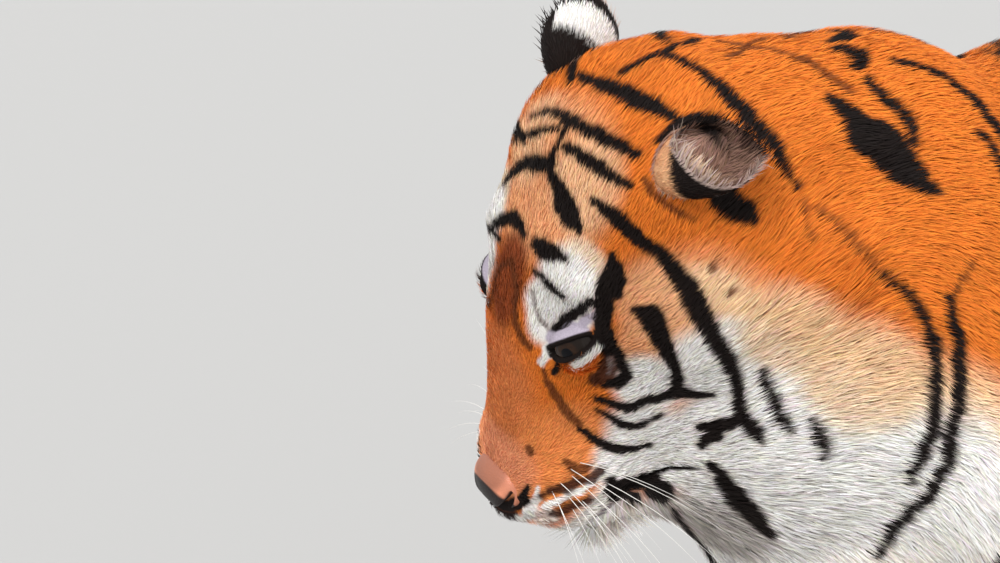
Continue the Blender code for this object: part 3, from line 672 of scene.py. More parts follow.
BLACK_RIGHT = {
    "forehead, high": [(-26.7, 0, 12.1, 4), (-26, -3, 11.7, 3.5), (-24.6, -6, 10.8, 2)],
    "forehead, low": [(-25.4, -0.3, 12.4, 2), (-23.5, -4.6, 11.1, 3), (-21.8, -7.7, 9.7, 1.5)],
    "middle line": [
        (-26.2, 0, 12.2, 3), (-24, 0.5, 12.3, 3), (-22.9, 0.5, 12, 6), (-22.3, 0.9, 11.5, 3.5),
    ],
    "arch": [(-23, 0.4, 12, 6), (-21.5, -3.6, 10.6, 6), (-19.7, -5.7, 9.6, 4), (-18.9, -6.1, 9.4, 1.5)],
    "brow": [(-17.6, 0.6, 10.3, 3), (-18.1, -0.8, 10.4, 5), (-16.8, -4, 9.5, 4.5), (-15.7, -5, 9, 2)],
    "crown": [(-29.5, -7.2, 9.6, 3), (-29, -6, 10, 4.5), (-28.4, -4.6, 10.5, 3)],
    "behind the ear": [
        (-34.4, -2.6, 7, 3.5), (-33.9, -6.5, 5, 6), (-33, -9, 2, 3.5), (-31.6, -10.2, -0.4, 2),
    ],
}
BROWN_PAIRS = {
    "edge of the bridge": [
        (-15.4, 0, 9.6, 3), (-14, 1.5, 8.8, 3.5), (-12, 1.9, 7.7, 3.5), (-11.2, 2.6, 7, 4),
        (-11.2, 3.5, 6.5, 3),
    ],
    "eye to muzzle": [(-10.2, 4.4, 4.9, 2), (-9.2, 4.8, 3.2, 3.5), (-8.2, 5.6, 0.2, 3)],
    "freckle": [(-4.6, 3.5, 1.2, 3), (-4.5, 3.6, 1, 3)],
    "smudge": [(-5.4, 5.7, -0.5, 3), (-5.4, 6.2, -1.4, 4.5), (-6, 6.5, -2.1, 3)],
    "cheek freckle": [(-23.6, 11.3, 2.8, 3.5), (-23.5, 11.4, 2.6, 3)],
    "cheek freckle, low": [(-23.1, 11.9, 0.8, 2.5), (-22.9, 12, 0.5, 2.5)],
    "below the ear": [(-26.6, 8.2, 10, 3), (-26, 9.4, 8.8, 3), (-26, 10.3, 5.8, 2)],
}
RED_PAIRS = {
    "behind the eye": [
        (-15, 7.6, 4.4, 5), (-14, 7.5, 3.2, 7), (-12.8, 7.1, 2.2, 8), (-11.8, 6.6, 2.2, 5),
    ],
    "lip, upper": [
        (-2.1, 5.2, -0.8, 2), (-3.6, 6.1, -1.3, 4.5), (-5, 6.6, -2.3, 4), (-6.3, 6.7, -3.2, 4),
    ],
    "lip, lower": [(-1.2, 5.2, -2.3, 2), (-2.4, 6.1, -2.8, 4.5), (-4, 6.8, -3.8, 3)],
}
LILAC_PAIRS = {
    "upper lid": [
        (-12.7, 4.6, 6.2, 2.5), (-13.6, 5.8, 6.4, 4), (-14.6, 6.5, 6.1, 4), (-15.6, 6.9, 6.1, 3.5),
        (-16.6, 7.4, 6.4, 2),
    ],
}
GREY_PAIRS = {
    "line in the brow": [(-14.6, 3, 8.8, 1.5), (-13.5, 4.1, 7.8, 2.3), (-12.7, 4.8, 6.8, 1.5)],
    "streak behind the eye": [(-14.6, 7.6, 3.8, 1.5), (-13.9, 7.6, 2.9, 2.8), (-13, 7.3, 2.1, 1.5)],
}
WHITE_PAIRS = {
    "inner corner": [(-12.3, 4.8, 6.3, 3), (-11.5, 4.7, 5.8, 5), (-10.6, 4.4, 5.3, 3)],
    "beside the nose": [
        (0.3, 2.4, -2.8, 4), (-1.0, 3.6, -2.3, 4.5), (-1.8, 4.6, -1.2, 3.5), (-2.6, 4.7, -0.5, 1.5),
    ],
    "lip": [(-1.6, 5.3, -1.4, 2.5), (-3, 6.2, -2, 3), (-5.2, 6.8, -3, 3), (-6.2, 7, -3.8, 3)],
}
in_pairs = len(BLACK_PAIRS) + len(BROWN_PAIRS)
print("black and brown strokes on the head", 2 * in_pairs + len(BLACK_LEFT) + len(BLACK_RIGHT))

# %% [markdown]
# ## Stripes of the neck
# Behind the head the strokes are given in world axes, in the same units: a leaf-shaped patch on
# the nape with a fork over it, and the double stripe that curves down the side of the neck. All
# the strokes are then cut into short spans that follow the skin.

# %% Strokes of the neck
NECK_BLACK = {
    "double stripe, front": [
        (14.5, -73.5, 80.5, 3), (15, -71, 78, 4), (15.3, -69.8, 75, 5), (15.4, -69.5, 72, 5.5),
        (15.4, -69.9, 68, 6), (15, -70.2, 65, 6), (14.6, -71.2, 63, 4),
    ],
    "double stripe, back": [
        (14.7, -68.3, 78, 3.5), (15.2, -68, 74, 5.5), (15.3, -67.5, 70, 6), (15.2, -68.4, 66, 6),
        (14.3, -69.3, 61.5, 6), (13.2, -71.2, 58.8, 7), (12.2, -72, 56, 4),
    ],
    "leaf": [
        (8, -75.3, 92.2, 3.5), (9.5, -73.8, 90.5, 11), (11, -71.5, 88.5, 15), (11.7, -70.4, 87, 11),
        (12.3, -68.5, 85.5, 2),
    ],
    "fork": [(6, -72, 92.4, 3), (8, -70.6, 91.2, 5), (9.6, -69.7, 89.6, 5), (10.4, -69.5, 88.6, 4)],
    "spot on the nape": [(2, -73.2, 93.2, 3), (3.1, -71.5, 93, 8), (5, -72, 92.7, 3)],
    "towards the withers": [
        (4.4, -69, 92.6, 3), (4.7, -66, 91.4, 4), (6.2, -63, 88.8, 6), (9, -60, 84, 5),
        (11, -59, 80, 2),
    ],
    "behind it": [(8.5, -64, 88, 3), (9.5, -62.5, 85.5, 5), (11, -62, 83, 2)],
    "root of the neck": [(14, -63, 66, 2), (14.4, -62, 61, 5), (13.8, -63, 55, 5), (12, -65, 51, 2)],
}
NECK_BROWN = {
    "above the double stripe": [
        (12.3, -77.8, 86, 2.5), (13.2, -76.5, 84.8, 3), (14, -75, 82.6, 3), (14.5, -73.5, 80.5, 3),
    ],
    "over the leaf": [(3.7, -76.4, 93.7, 5), (5.8, -74.7, 93, 4.5), (7, -73.5, 92.1, 4)],
    "ridge": [(0, -81, 93.9, 3), (1.5, -79, 94, 3), (3, -77, 93.8, 3)],
    "back of the ear": [(12, -79, 86.6, 2), (13.3, -78.9, 85.2, 2), (14, -78.5, 84, 1.5)],
    "to the back stripe": [(14, -66.2, 80, 2.5), (14.7, -68.3, 78, 3)],
}

# %% Cut the strokes into spans on the skin
NECK_MIDDLE = 0.015
SPAN_LENGTH, SPAN_REACH = 0.012, 0.045
finder = KDTree(len(skin.data.vertices))
for index, place in enumerate(points_of(skin.data)):
    finder.insert(place, index)
finder.balance()


def on_skin(place):
    """The point of the skin's mesh nearest to a place."""
    return np.array(finder.find(place)[0])


def laid(strokes):
    """Short spans on the skin: start, end and the two half widths, one row for each span.

    Each stroke runs smoothly through its points: between two of them it is the cubic whose ends
    lean along their neighbours. It is cut into spans of about 12 mm, each moved to the nearest skin.
    """
    rows = []
    for places in strokes:
        steps = sizes_of(np.diff(places[:, :3], axis=0))
        run = np.concatenate([[0], np.cumsum(steps)])
        if len(run) > 2:
            lean = np.gradient(places, run, axis=0)
        else:
            lean = np.tile(np.diff(places, axis=0) / run[-1], (2, 1))
        cuts = np.linspace(0, run[-1], max(2, int(run[-1] / SPAN_LENGTH) + 2))
        k = np.clip(np.searchsorted(run, cuts, side="right") - 1, 0, len(run) - 2)
        wide = (run[k + 1] - run[k])[:, None]
        t = (cuts - run[k])[:, None] / wide
        line = places[k] * (1 + 2 * t) * (1 - t) ** 2 + places[k + 1] * t ** 2 * (3 - 2 * t)
        line = line + wide * (lean[k] * t * (1 - t) ** 2 - lean[k + 1] * t ** 2 * (1 - t))
        line[:, :3] = [on_skin(place) for place in line[:, :3]]
        rows.append(np.column_stack([line[:-1, :3], line[1:, :3], line[:-1, 3], line[1:, 3]]))
    return np.vstack(rows)


def of_head(strokes, mirrored=False):
    """Strokes in metres; the mirrored copies wander by 2 mm so that the sides don't match."""
    made = []
    for number, stroke in enumerate(strokes.values()):
        table = np.array(stroke, float)
        if mirrored:
            table[:, 1] *= -1
            table[:, :3] += 0.2 * np.sin(table[:, :3] * 1.3 + number)
            table[:, 3] *= 1 + 0.12 * math.sin(number * 2.1)
        made.append(np.column_stack([from_head(table[:, :3] / 100), table[:, 3] / 1000]))
    return made


def of_neck(strokes, mirrored=False):
    """The same in world axes; here the mirrored copies are shifted by up to 9 mm."""
    made = []
    for number, stroke in enumerate(strokes.values()):
        table = np.array(stroke, float)
        if mirrored:
            table[:, 0] = 2 * NECK_MIDDLE * 100 - table[:, 0]
            table[:, 1:3] += 0.9 * np.sin(number * 1.7)
        made.append(table / [100, 100, 100, 1000])
    return made


def pairs(strokes, place=of_head):
    return place(strokes) + place(strokes, True)


BLACK_SPANS = laid(pairs(BLACK_PAIRS) + of_head(BLACK_LEFT) + of_head(BLACK_RIGHT)
                   + pairs(NECK_BLACK, of_neck))
BROWN_SPANS = laid(pairs(BROWN_PAIRS) + pairs(NECK_BROWN, of_neck))
print("spans", len(BLACK_SPANS), "black and", len(BROWN_SPANS), "brown")


def inside_spans(points, spans):
    """How deep each point lies inside its best span, in metres; below zero is outside."""
    start, along = spans[:, :3], spans[:, 3:6] - spans[:, :3]
    size = (along ** 2).sum(axis=1) + 1e-12
    best = np.full(len(points), -1.0)
    for k in range(len(spans)):
        close = np.flatnonzero(((points - start[k]) ** 2).sum(axis=1) < SPAN_REACH ** 2)
        if not len(close):
            continue
        away = points[close] - start[k]
        t = np.clip(away @ along[k] / size[k], 0, 1)
        miss = sizes_of(away - t[:, None] * along[k])
        best[close] = np.maximum(best[close], spans[k, 6] + t * (spans[k, 7] - spans[k, 6]) - miss)
    return best


# %% [markdown]
# ## Stripes of the body
# On the trunk no stripe is placed by hand. They are the crests of a wave that runs along the
# animal, bent by smooth noise so that they fork, pinch and break as real ones do. On the legs the
# wave turns to run down the limb, and on the tail it follows the tail, which makes rings. Some
# stripes are hollow, with a line of orange inside, because crests that are much higher than their
# neighbours are cut open again.

# %% Waves of the body
TAIL_PATH = np.array([
    [0.000, 0.577, 0.785], [0.004, 0.647, 0.690], [0.014, 0.692, 0.570], [0.026, 0.722, 0.450],
    [0.038, 0.757, 0.330], [0.048, 0.817, 0.235], [0.054, 0.902, 0.195], [0.054, 0.982, 0.215],
])
TRUNK_PITCH, LEG_PITCH, TAIL_PITCH = 0.078, 0.054, 0.066
BLACK_TIP_FROM = 0.79


def along_tail(points):
    """Distance along the tail from its root, and the distance from its middle line."""
    best, where = np.full(len(points), 9.0), np.zeros(len(points))
    run = 0.0
    for a, b in zip(TAIL_PATH[:-1], TAIL_PATH[1:]):
        way = b - a
        size = np.linalg.norm(way)
        t = np.clip((points - a) @ way / size ** 2, -0.2, 1.3)
        away = sizes_of(points - a - t[:, None] * way)
        closer = away < best
        best[closer], where[closer] = away[closer], (run + t * size)[closer]
        run += size
    return where, best


def stripe_threshold(points, normals, on_tail):
    """How much of the wave is cut off: where this is high, the stripes are thin and few."""
    x, y, z = points.T
    thin = 0.50 + 0.22 * ripple(points * [1, 1, 0.5], 0.14, 4) + 0.12 * ripple(points, 0.05, 5)
    fore = step(y, -0.28, -0.36) * step(z, 0.66, 0.52)
    inner = step(-np.sign(x) * normals[:, 0], 0.0, 0.5)
    thin += 0.42 * fore * (1 - 0.7 * inner)
    thin += 0.35 * step(z, 0.16, 0.08) * (1 - on_tail)
    thin += 0.5 * step(normals[:, 2], -0.45, -0.85) * (1 - on_tail) * step(z, 0.4, 0.45)
    thin += 0.22 * np.exp(-((y + 0.42) / 0.10) ** 2) * step(z, 0.84, 0.72)
    return thin - 0.10 * on_tail


def body_stripes(points, normals):
    """How deep inside a stripe of the body each point lies: a bent cosine less its threshold."""
    x, y, z = points.T
    tail_run, tail_away = along_tail(points)
    on_tail = step(tail_away, 0.085, 0.060) * step(y, 0.56, 0.60)
    on_leg = step(z, 0.52, 0.44) * (1 - on_tail)
    bend = ripple(points * [0.6, 1, 0.7], 0.30, 1) * 0.022
    bend += ripple(points * [0.5, 1, 0.6], 0.11, 2) * 0.006
    shift = 0.9 * ripple(points, 0.45, 3)
    wave = np.zeros(len(points))
    for run, pitch, share in (
        (y - 0.16 * np.abs(x) + bend - 0.10 * (z - 0.7), TRUNK_PITCH, (1 - on_leg) * (1 - on_tail)),
        (0.95 * z + 0.30 * (y + 0.2) + bend * 0.8, LEG_PITCH, on_leg),
        (tail_run, TAIL_PITCH, on_tail),
    ):
        wave += np.cos(2 * math.pi * run / pitch + shift) * share
    crest = wave - stripe_threshold(points, normals, on_tail)
    hollow = crest - 0.42 - 0.25 * ripple(points, 0.22, 6)
    crest = np.where(hollow > 0, np.minimum(crest, 0.06 - hollow * 0.8), crest)
    tip = (tail_run - BLACK_TIP_FROM) * on_tail - 0.02 * (1 - on_tail)
    return np.maximum(crest * 0.010, tip)


# %% [markdown]
# ## The ground colours
# Under the stripes a tiger is orange above and white below: white over the eyes, on the cheeks,
# the chin, the throat, the belly and the inside of the legs. The ground is orange with soft
# patches laid over it one after the other, each with its own place, size and colour. The lids
# and the ears have rules of their own, and the last of these cells puts everything together.

# %% Ground colours
ORANGE, DEEP, SAND = (0.76, 0.20, 0.024), (0.52, 0.11, 0.014), (0.87, 0.47, 0.24)
CREAM, WHITE, GREY = (0.92, 0.61, 0.36), (0.92, 0.88, 0.83), (0.26, 0.20, 0.18)
BRIDGE, RUST, RED = (0.72, 0.23, 0.070), (0.28, 0.055, 0.014), (0.055, 0.015, 0.008)
LILAC, BLACK, BROWN = (0.52, 0.45, 0.53), (0.010, 0.006, 0.005), (0.14, 0.035, 0.010)
HEAD_PATCHES = [  # middle (cm, head axes), radii (cm), colour, strength
    ((-22, 0, 11), (7, 8, 6), SAND, 0.75),
    ((-23.5, 4, 10.6), (4, 4, 3), CREAM, 0.6),
    ((-7, 0, 3), (9, 4.2, 6), BRIDGE, 0.9),
    ((-14, 0, 9), (4.5, 2.6, 4), RUST, 0.95),
    ((-6, 5, -1), (5.5, 4, 4.5), (0.82, 0.29, 0.085), 0.85),
    ((-2.6, 1, 0), (3.2, 4, 3), (0.84, 0.34, 0.17), 0.8),
    ((-16, 9.5, 1.5), (4.5, 3.5, 3.5), SAND, 0.7),
    ((-19.5, 9.8, 4), (4, 3, 4), SAND, 0.7),
    ((-13.6, 9.2, 0), (3.4, 3, 3.2), WHITE, 1.0),
    ((-10, 8.4, -3.4), (3.6, 3, 4.2), WHITE, 1.0),
    ((-8, 7, -3.8), (3, 3, 2.4), WHITE, 1.0),
    ((-17.2, 11.5, -2), (3.8, 3, 4.5), WHITE, 1.0),
    ((-20, 12.3, -3.2), (2.6, 3, 4.6), WHITE, 0.85),
    ((-13, 11, -7), (6, 4.5, 5), WHITE, 1.0),
    ((-18, 12.6, -9.5), (5, 4, 6), WHITE, 0.95),
    ((-22.6, 11.6, 1.6), (1.6, 2, 4.2), CREAM, 0.9),
    ((-22.5, 13, -5), (4, 4, 5), CREAM, 0.75),
    ((-22, 14, -12), (5, 4, 6), CREAM, 0.8),
    ((-18.4, 6.2, 8.8), (2.4, 3.0, 2), (0.90, 0.74, 0.56), 0.9),
    ((-17.2, 5.6, 8.6), (2.4, 3.2, 2.6), WHITE, 1.0),
    ((-16.2, 6.8, 8.2), (2, 2, 2), WHITE, 1.0),
    ((-14.6, 4.2, 8.2), (2.4, 2.1, 2.0), WHITE, 1.0),
    ((-13.2, 4.5, 7.2), (2.3, 1.9, 1.8), WHITE, 1.0),
    ((-14.8, 6.2, 6.6), (2.4, 2.4, 1.3), WHITE, 1.0),
    ((-5, 4.6, -5.0), (6, 3.6, 1.9), WHITE, 0.95),
    ((-1.2, 4.0, -2.6), (1.2, 2.4, 1.2), WHITE, 0.8),
    ((-2.5, 0, -7.4), (7, 6.5, 3.4), WHITE, 1.0),
    ((-0.2, 0, -4.8), (4.5, 5.5, 2.4), WHITE, 1.0),
    # Near black under the nose pad: painted shade on the underside of the nose.
    ((0.6, 0, -2.2), (2.4, 3.4, 1.7), (0.022, 0.010, 0.008), 1.0),
    ((-9, 7.4, -6.6), (4.0, 3.5, 3.2), WHITE, 1.0),
    ((-3.2, 4.6, -7.4), (2.0, 2.4, 2.0), (0.16, 0.12, 0.14), 0.8),
    ((-13, 9, -11), (7, 8, 5), WHITE, 1.0),
    ((-11, 0, -16), (16, 18, 8), WHITE, 1.0),
    # Grey on the throat below the jaw: painted shade under the jaw.
    ((-5, 6, -15), (6, 5, 6), (0.34, 0.29, 0.26), 0.7),
]
WHITE_UP_TO_Y = [-0.86, -0.80, -0.72, -0.66, -0.58, -0.48, -0.42]
WHITE_UP_TO_Z = [0.790, 0.770, 0.735, 0.715, 0.65, 0.55, 0.0]


def lay(colour, over, share):
    """Mixes one colour over an array of colours in place, by each point's own share."""
    colour[:] = mixed(colour, over, share[:, None])


def ground(points, normals, head):
    """Orange, with each soft patch mixed over it by its own smooth falloff."""
    x, y, z = points.T
    colour = np.tile(ORANGE, (len(points), 1)).astype(float)
    lay(colour, DEEP, 0.50 * step(z, 0.78, 0.90) * step(y, -0.70, -0.35))
    low = z - 0.018 * ripple(points, 0.20, 21)
    front = np.interp(y, WHITE_UP_TO_Y, WHITE_UP_TO_Z)
    behind_face = np.maximum(step(head[:, 0], -0.17, -0.22), step(head[:, 2], -0.09, -0.13))
    behind_face *= step(y, -0.40, -0.50)
    behind_face *= np.maximum(step(z, 0.42, 0.60), step(np.abs(x - NECK_MIDDLE), 0.10, 0.07))
    lay(colour, CREAM, step(low, front + 0.050, front - 0.010) * behind_face)
    lay(colour, WHITE, step(low, front + 0.005, front - 0.065) * behind_face)
    trunk = step(np.abs(y), 0.34, 0.24) * step(z, 0.40, 0.46)
    belly = low - 0.022 * ripple(points * [0.3, 1, 0.3], 0.16, 22)
    lay(colour, CREAM, step(belly, 0.620, 0.540) * trunk * 0.85)
    lay(colour, WHITE, step(belly, 0.565, 0.490) * trunk)
    under = step(normals[:, 2], -0.10, -0.60) * step(z, 0.62, 0.56) * step(z, 0.36, 0.42)
    lay(colour, WHITE, under * step(y, 0.60, 0.5))
    inwards = 0.25 * ripple(points, 0.07, 23) - np.sign(x) * normals[:, 0]
    inner = step(inwards, -0.10, 0.50) * step(z, 0.62, 0.50) * (y < 0.56)
    lay(colour, WHITE, inner * 0.9)
    lay(colour, CREAM, step(z, 0.15, 0.05) * 0.7)
    # Deep orange in the gaps between the toes: painted shade in the grooves.
    lay(colour, DEEP, 0.55 * toe_gaps(points))
    tail_run, tail_away = along_tail(points)
    lay(colour, CREAM, 0.6 * step(tail_away, 0.08, 0.06) * step(tail_run, 0.18, 0.42) * (y > 0.56))
    for middle, radii, over, strength in HEAD_PATCHES:
        for side in sides_of(middle):
            away = (head * 100 - np.array(middle) * [1, side, 1]) / radii
            lay(colour, over, strength * step(sizes_of(away), 1.10, 0.62))
    return colour


# %% Colours of the lids and ears
WHITE_SPOT = (1.2, 2.9, 3.2, 1.5)
EAR_INSIDE, EAR_LIGHT, EAR_PALE = (0.32, 0.18, 0.13), (0.42, 0.26, 0.20), (0.70, 0.50, 0.34)
EAR_DARK, EAR_RIM = (0.035, 0.017, 0.013), (0.50, 0.37, 0.32)


def lid_colours(points, colour):
    """A white crescent below the slit, a lilac upper lid, and a black rim all round the slit."""
    for _, near, (u, v, facing, reach) in near_eyes(points, 0.034):
        on_ball = step(reach, 0.0250, 0.0228) * (facing > 0)
        lower = np.interp(u, [-0.003, 0.007, 0.014, 0.018], [-0.0100, -0.0088, -0.0058, -0.0030])
        crescent = step(np.abs(v - lower), 0.0034, 0.0026) * step(u, -0.0045, -0.0015)
        upper_lid = step(v, 0.0150, 0.0130) * step(v, 0.0050, 0.0060)
        shade = colour[near]
        lay(shade, WHITE, crescent * step(u, 0.0170, 0.0155) * on_ball)
        lay(shade, LILAC, upper_lid * step(np.abs(u - 0.002), 0.0165, 0.0150) * on_ball)
        lay(shade, BLACK, step(slit_depth(u, v), -0.0030, -0.0020) * on_ball)
        colour[near] = shade


def in_ear(points, side):
    """The point's place across, before and along the ear, and two tests of it.

    The first is whether it is on that side of the head, the second whether it lies in the ear's
    bowl, which the skin of the head closes below.
    """
    local = (points - ear_root(side)) @ ear_axes(side).T
    bowl = sizes_of(local / [0.043, 0.027, 0.046] - [0, 0, 0.70]) < 0.98
    return local, to_head(points)[:, 1] * side > 0, bowl


def ear_colours(points, kind, colour):
    """Outside black with a white spot; inside brown, pale along the front edge, black behind."""
    for side in (1, -1):
        local, mine, bowl = in_ear(points, side)
        inside = mine & ((kind == INSIDE) | ((kind == 0) & bowl))
        outside, edge = mine & (kind == OUTSIDE), mine & (kind == RIM)
        across, ahead, up = (local * 100 * [side, 1, 1]).T
        spot = np.hypot((across - WHITE_SPOT[0]) / WHITE_SPOT[2], (up - WHITE_SPOT[1]) / WHITE_SPOT[3])
        white = step(spot, 1.1, 0.85) * (ahead < 0.3)
        dark = np.maximum(step(up, 0.8, 1.5), side < 0)
        back = mixed(SAND, np.array(BLACK) * 1.2, dark[:, None])
        colour[outside] = mixed(back, WHITE, white[:, None])[outside]
        shade = np.tile(EAR_INSIDE, (len(points), 1)).astype(float)
        lay(shade, EAR_LIGHT, step(across, 0.8, -1.2) * step(up, 6.2, 4.5))
        lay(shade, EAR_PALE, step(across, -1.2, -2.6) * step(up, 5, 3))
        lay(shade, EAR_DARK, step(up, 2.8, 4.6) * step(across, 1.0, 2.8))
        lay(shade, BLACK, step(across, 1.6, 2.4) * step(up, 3.2, 2.4))
        colour[inside] = shade[inside]
        colour[edge] = mixed(BLACK, EAR_RIM, step(across, 1.5, 0.0)[:, None])[edge]


# %% The whole marking rule
SOFT_STROKES = (  # colour, spans, strength, and half the width of the soft edge in metres
    (WHITE, laid(pairs(WHITE_PAIRS)), 1.0, 0.0012),
    (RED, laid(pairs(RED_PAIRS)), 0.95, 0.0020),
    (LILAC, laid(pairs(LILAC_PAIRS)), 1.0, 0.0008),
    (GREY, laid(pairs(GREY_PAIRS)), 0.75, 0.0012),
    (BROWN, BROWN_SPANS, 0.88, 0.0014),
)
STRIPE_EDGE, STRIPE_HALO, MOUTH_LINE = 0.0006, 0.35, 0.0042


def markings(points, normals, kind):
    """The colour of the coat: the ground, soft strokes, black stripes, the mouth, lids, ears."""
    head = to_head(points)
    colour = ground(points, normals, head)
    wobble = 0.0006 * ripple(points, 0.012, 31) + 0.0004 * ripple(points, 0.005, 32)
    for over, spans, strength, soft in SOFT_STROKES:
        lay(colour, over, strength * step(inside_spans(points, spans) + wobble, -soft, soft))
    on_body = step(points[:, 1], -0.66, -0.56)
    black = np.maximum(inside_spans(points, BLACK_SPANS) + wobble,
                       body_stripes(points, normals) - 0.03 * (1 - on_body) + wobble)
    lay(colour, BROWN, step(black, -0.0030, -0.0004) * STRIPE_HALO)
    lay(colour, BLACK, step(black, -STRIPE_EDGE, STRIPE_EDGE))
    gap, here = mouth_distance(head)
    lips = here * step(np.abs(gap + 0.001), MOUTH_LINE, 0.0022) * step(head[:, 0], 0.004, -0.004)
    lay(colour, BLACK, lips)
    lid_colours(points, colour)
    ear_colours(points, kind, colour)
    return colour


kind = np.round(rows_of(skin.data.attributes["kind"].data, "value", 1)[:, 0])
points, normals = points_of(skin.data), normals_of(skin.data)
skin_colour = in_blocks(markings, points, normals, kind)
print("coloured", len(points), "points of skin")


# %% [markdown]
# ## Materials with their own grain
# All furred parts share one node group for the fine variation of hair: two noises, one for the
# clumps and one for single hairs, that shift the brightness a little and feed a bump. The colour
# itself is the piece's own attribute, worked out above, so the skin and the hair agree. The skin
# is a little darker, because it lies in the shade of the hair.

# %% Shader helpers
def colour_attribute(piece, colours):
    layer = piece.data.color_attributes.new("coat", "FLOAT_COLOR", "POINT")
    rgba = np.ones((len(colours), 4), np.float32)
    rgba[:, :3] = np.clip(colours, 0, 1)
    layer.data.foreach_set("color", rgba.ravel())


def add_node(tree, kind, inputs, **settings):
    """A new shader node. Each input is a plain value or the output of another node."""
    node = tree.nodes.new("ShaderNode" + kind)
    for name, value in settings.items():
        setattr(node, name, value)
    for name, value in inputs.items():
        if hasattr(value, "links"):
            tree.links.new(value, node.inputs[name])
        else:
            node.inputs[name].default_value = value
    return node


def grain_group():
    """Inputs Colour, Size and Amount; outputs the varied Colour and a Height for a bump."""
    group = bpy.data.node_groups.new("hair grain", "ShaderNodeTree")
    for name, way, kind in (
        ("Colour", "INPUT", "Color"), ("Size", "INPUT", "Float"), ("Amount", "INPUT", "Float"),
        ("Colour", "OUTPUT", "Color"), ("Height", "OUTPUT", "Float"),
    ):
        group.interface.new_socket(name, in_out=way, socket_type="NodeSocket" + kind)
    given = group.nodes.new("NodeGroupInput").outputs
    result = group.nodes.new("NodeGroupOutput").inputs
    place = add_node(group, "TexCoord", {}).outputs["Object"]
    fine = add_node(group, "TexNoise", {"Vector": place, "Scale": given["Size"], "Detail": 2})
    broad = add_node(group, "TexNoise", {"Vector": place, "Scale": 55, "Detail": 3})
    both = add_node(group, "Math", {0: fine.outputs["Fac"], 1: broad.outputs["Fac"]}, operation="ADD")
    centred = add_node(group, "Math", {0: both.outputs[0], 1: 1.0}, operation="SUBTRACT")
    scaled = add_node(group, "Math", {0: centred.outputs[0], 1: given["Amount"], 2: 1.0},
                      operation="MULTIPLY_ADD")
    tone = add_node(group, "VectorMath", {0: given["Colour"], "Scale": scaled.outputs[0]},
                    operation="SCALE")
    group.links.new(tone.outputs[0], result["Colour"])
    group.links.new(fine.outputs["Fac"], result["Height"])
    return group


GRAIN = grain_group()


def principled(name, inputs):
    """A Principled material with some of its inputs set; returns it and its shader node."""
    material = bpy.data.materials.new(name)
    material.use_nodes = True
    shader = material.node_tree.nodes["Principled BSDF"]
    for key, value in inputs.items():
        shader.inputs[key].default_value = value
    return material, shader


def grained(name, size, amount, roughness, gloss=0.3, bump=0.0, varnish=0.0, colour=None):
    """A material whose base passes through the grain: one colour, or the piece's own colours."""
    material, shader = principled(name, {
        "Roughness": roughness, "Coat Weight": varnish, "Specular IOR Level": gloss})
    tree = material.node_tree
    grain = add_node(tree, "Group", {}, node_tree=GRAIN)
    grain.inputs["Size"].default_value = size
    grain.inputs["Amount"].default_value = amount
    if colour:
        grain.inputs["Colour"].default_value = (*colour, 1)
    else:
        source = add_node(tree, "Attribute", {}, attribute_name="coat")
        tree.links.new(source.outputs["Color"], grain.inputs["Colour"])
    tree.links.new(grain.outputs["Colour"], shader.inputs["Base Color"])
    if bump:
        relief = add_node(tree, "Bump", {
            "Strength": 0.6, "Distance": bump, "Height": grain.outputs["Height"]})
        tree.links.new(relief.outputs["Normal"], shader.inputs["Normal"])
    return material


def clad(piece, material, replaced=()):
    """Gives a piece its material and its body, and hides the nodes of the frame that it stands for."""
    piece.data.materials.clear()
    piece.data.materials.append(material)
    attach(piece, "root")
    if replaced:
        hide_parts(*replaced)


UNDER_HAIR = 0.72
colour_attribute(skin, skin_colour * UNDER_HAIR)
hide = grained("short hair on the skin", 900, 0.5, roughness=0.85, gloss=0.10, bump=0.0012)
clad(skin, hide, [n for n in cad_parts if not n.startswith("eye_") and n != "nose"])

# %% [markdown]
# ## The coat
# Each tuft is a narrow blade of three triangles: wide at the root, bent in the middle, pointed at
# the tip. Roots are scattered over the skin's triangles by area and by how dense the coat is
# there. The blade starts along the lie of the coat, lifts off by the coat's depth and is rolled a
# little about its own length, so that neighbours catch the light differently, as hair does. Its
# colours are the markings a little way along it, with painted shade darkening the root and
# painted light brightening the tip.

# %% Lay the tufts
BODY_TUFTS, LEG_TUFTS, FRONT_TUFTS, FACE_TUFTS = 112000, 120000, 300000, 520000
EAR_BACK_TUFTS, EAR_BOWL_TUFTS = 300000, 220000


def bare(points):
    """1 where no tuft may grow: in the open slit, on the nose pad and under the soles."""
    head = to_head(points)
    none = (points[:, 2] < 0.004).astype(float)
    pad = (head - [-0.010, 0, -0.016]) / [0.018, 0.030, 0.021]
    none = np.maximum(none, sizes_of(pad) < 1)
    for _, near, (u, v, facing, _) in near_eyes(points, 0.030):
        hidden = (facing > 0) & (np.abs(u) < 0.0175) & (v > -0.0062) & (v < 0.0138)
        none[near] = np.maximum(none[near], hidden)
    return none


def density(points, kind):
    """Tufts in a square metre: dense and fine on the face, sparser and longer on the body."""
    face = step(sizes_of(to_head(points) - [-0.12, 0, 0]), 0.20, 0.13)
    front = step(points[:, 1], -0.52, -0.66)
    leg = step(points[:, 2], 0.50, 0.35)
    dense = BODY_TUFTS + (LEG_TUFTS - BODY_TUFTS) * leg
    dense = mixed(mixed(dense, FRONT_TUFTS, front), FACE_TUFTS, face)
    dense = np.where(kind == OUTSIDE, EAR_BACK_TUFTS, dense)
    dense = np.where(kind >= INSIDE, EAR_BOWL_TUFTS, dense)
    return dense * (1 - bare(points))


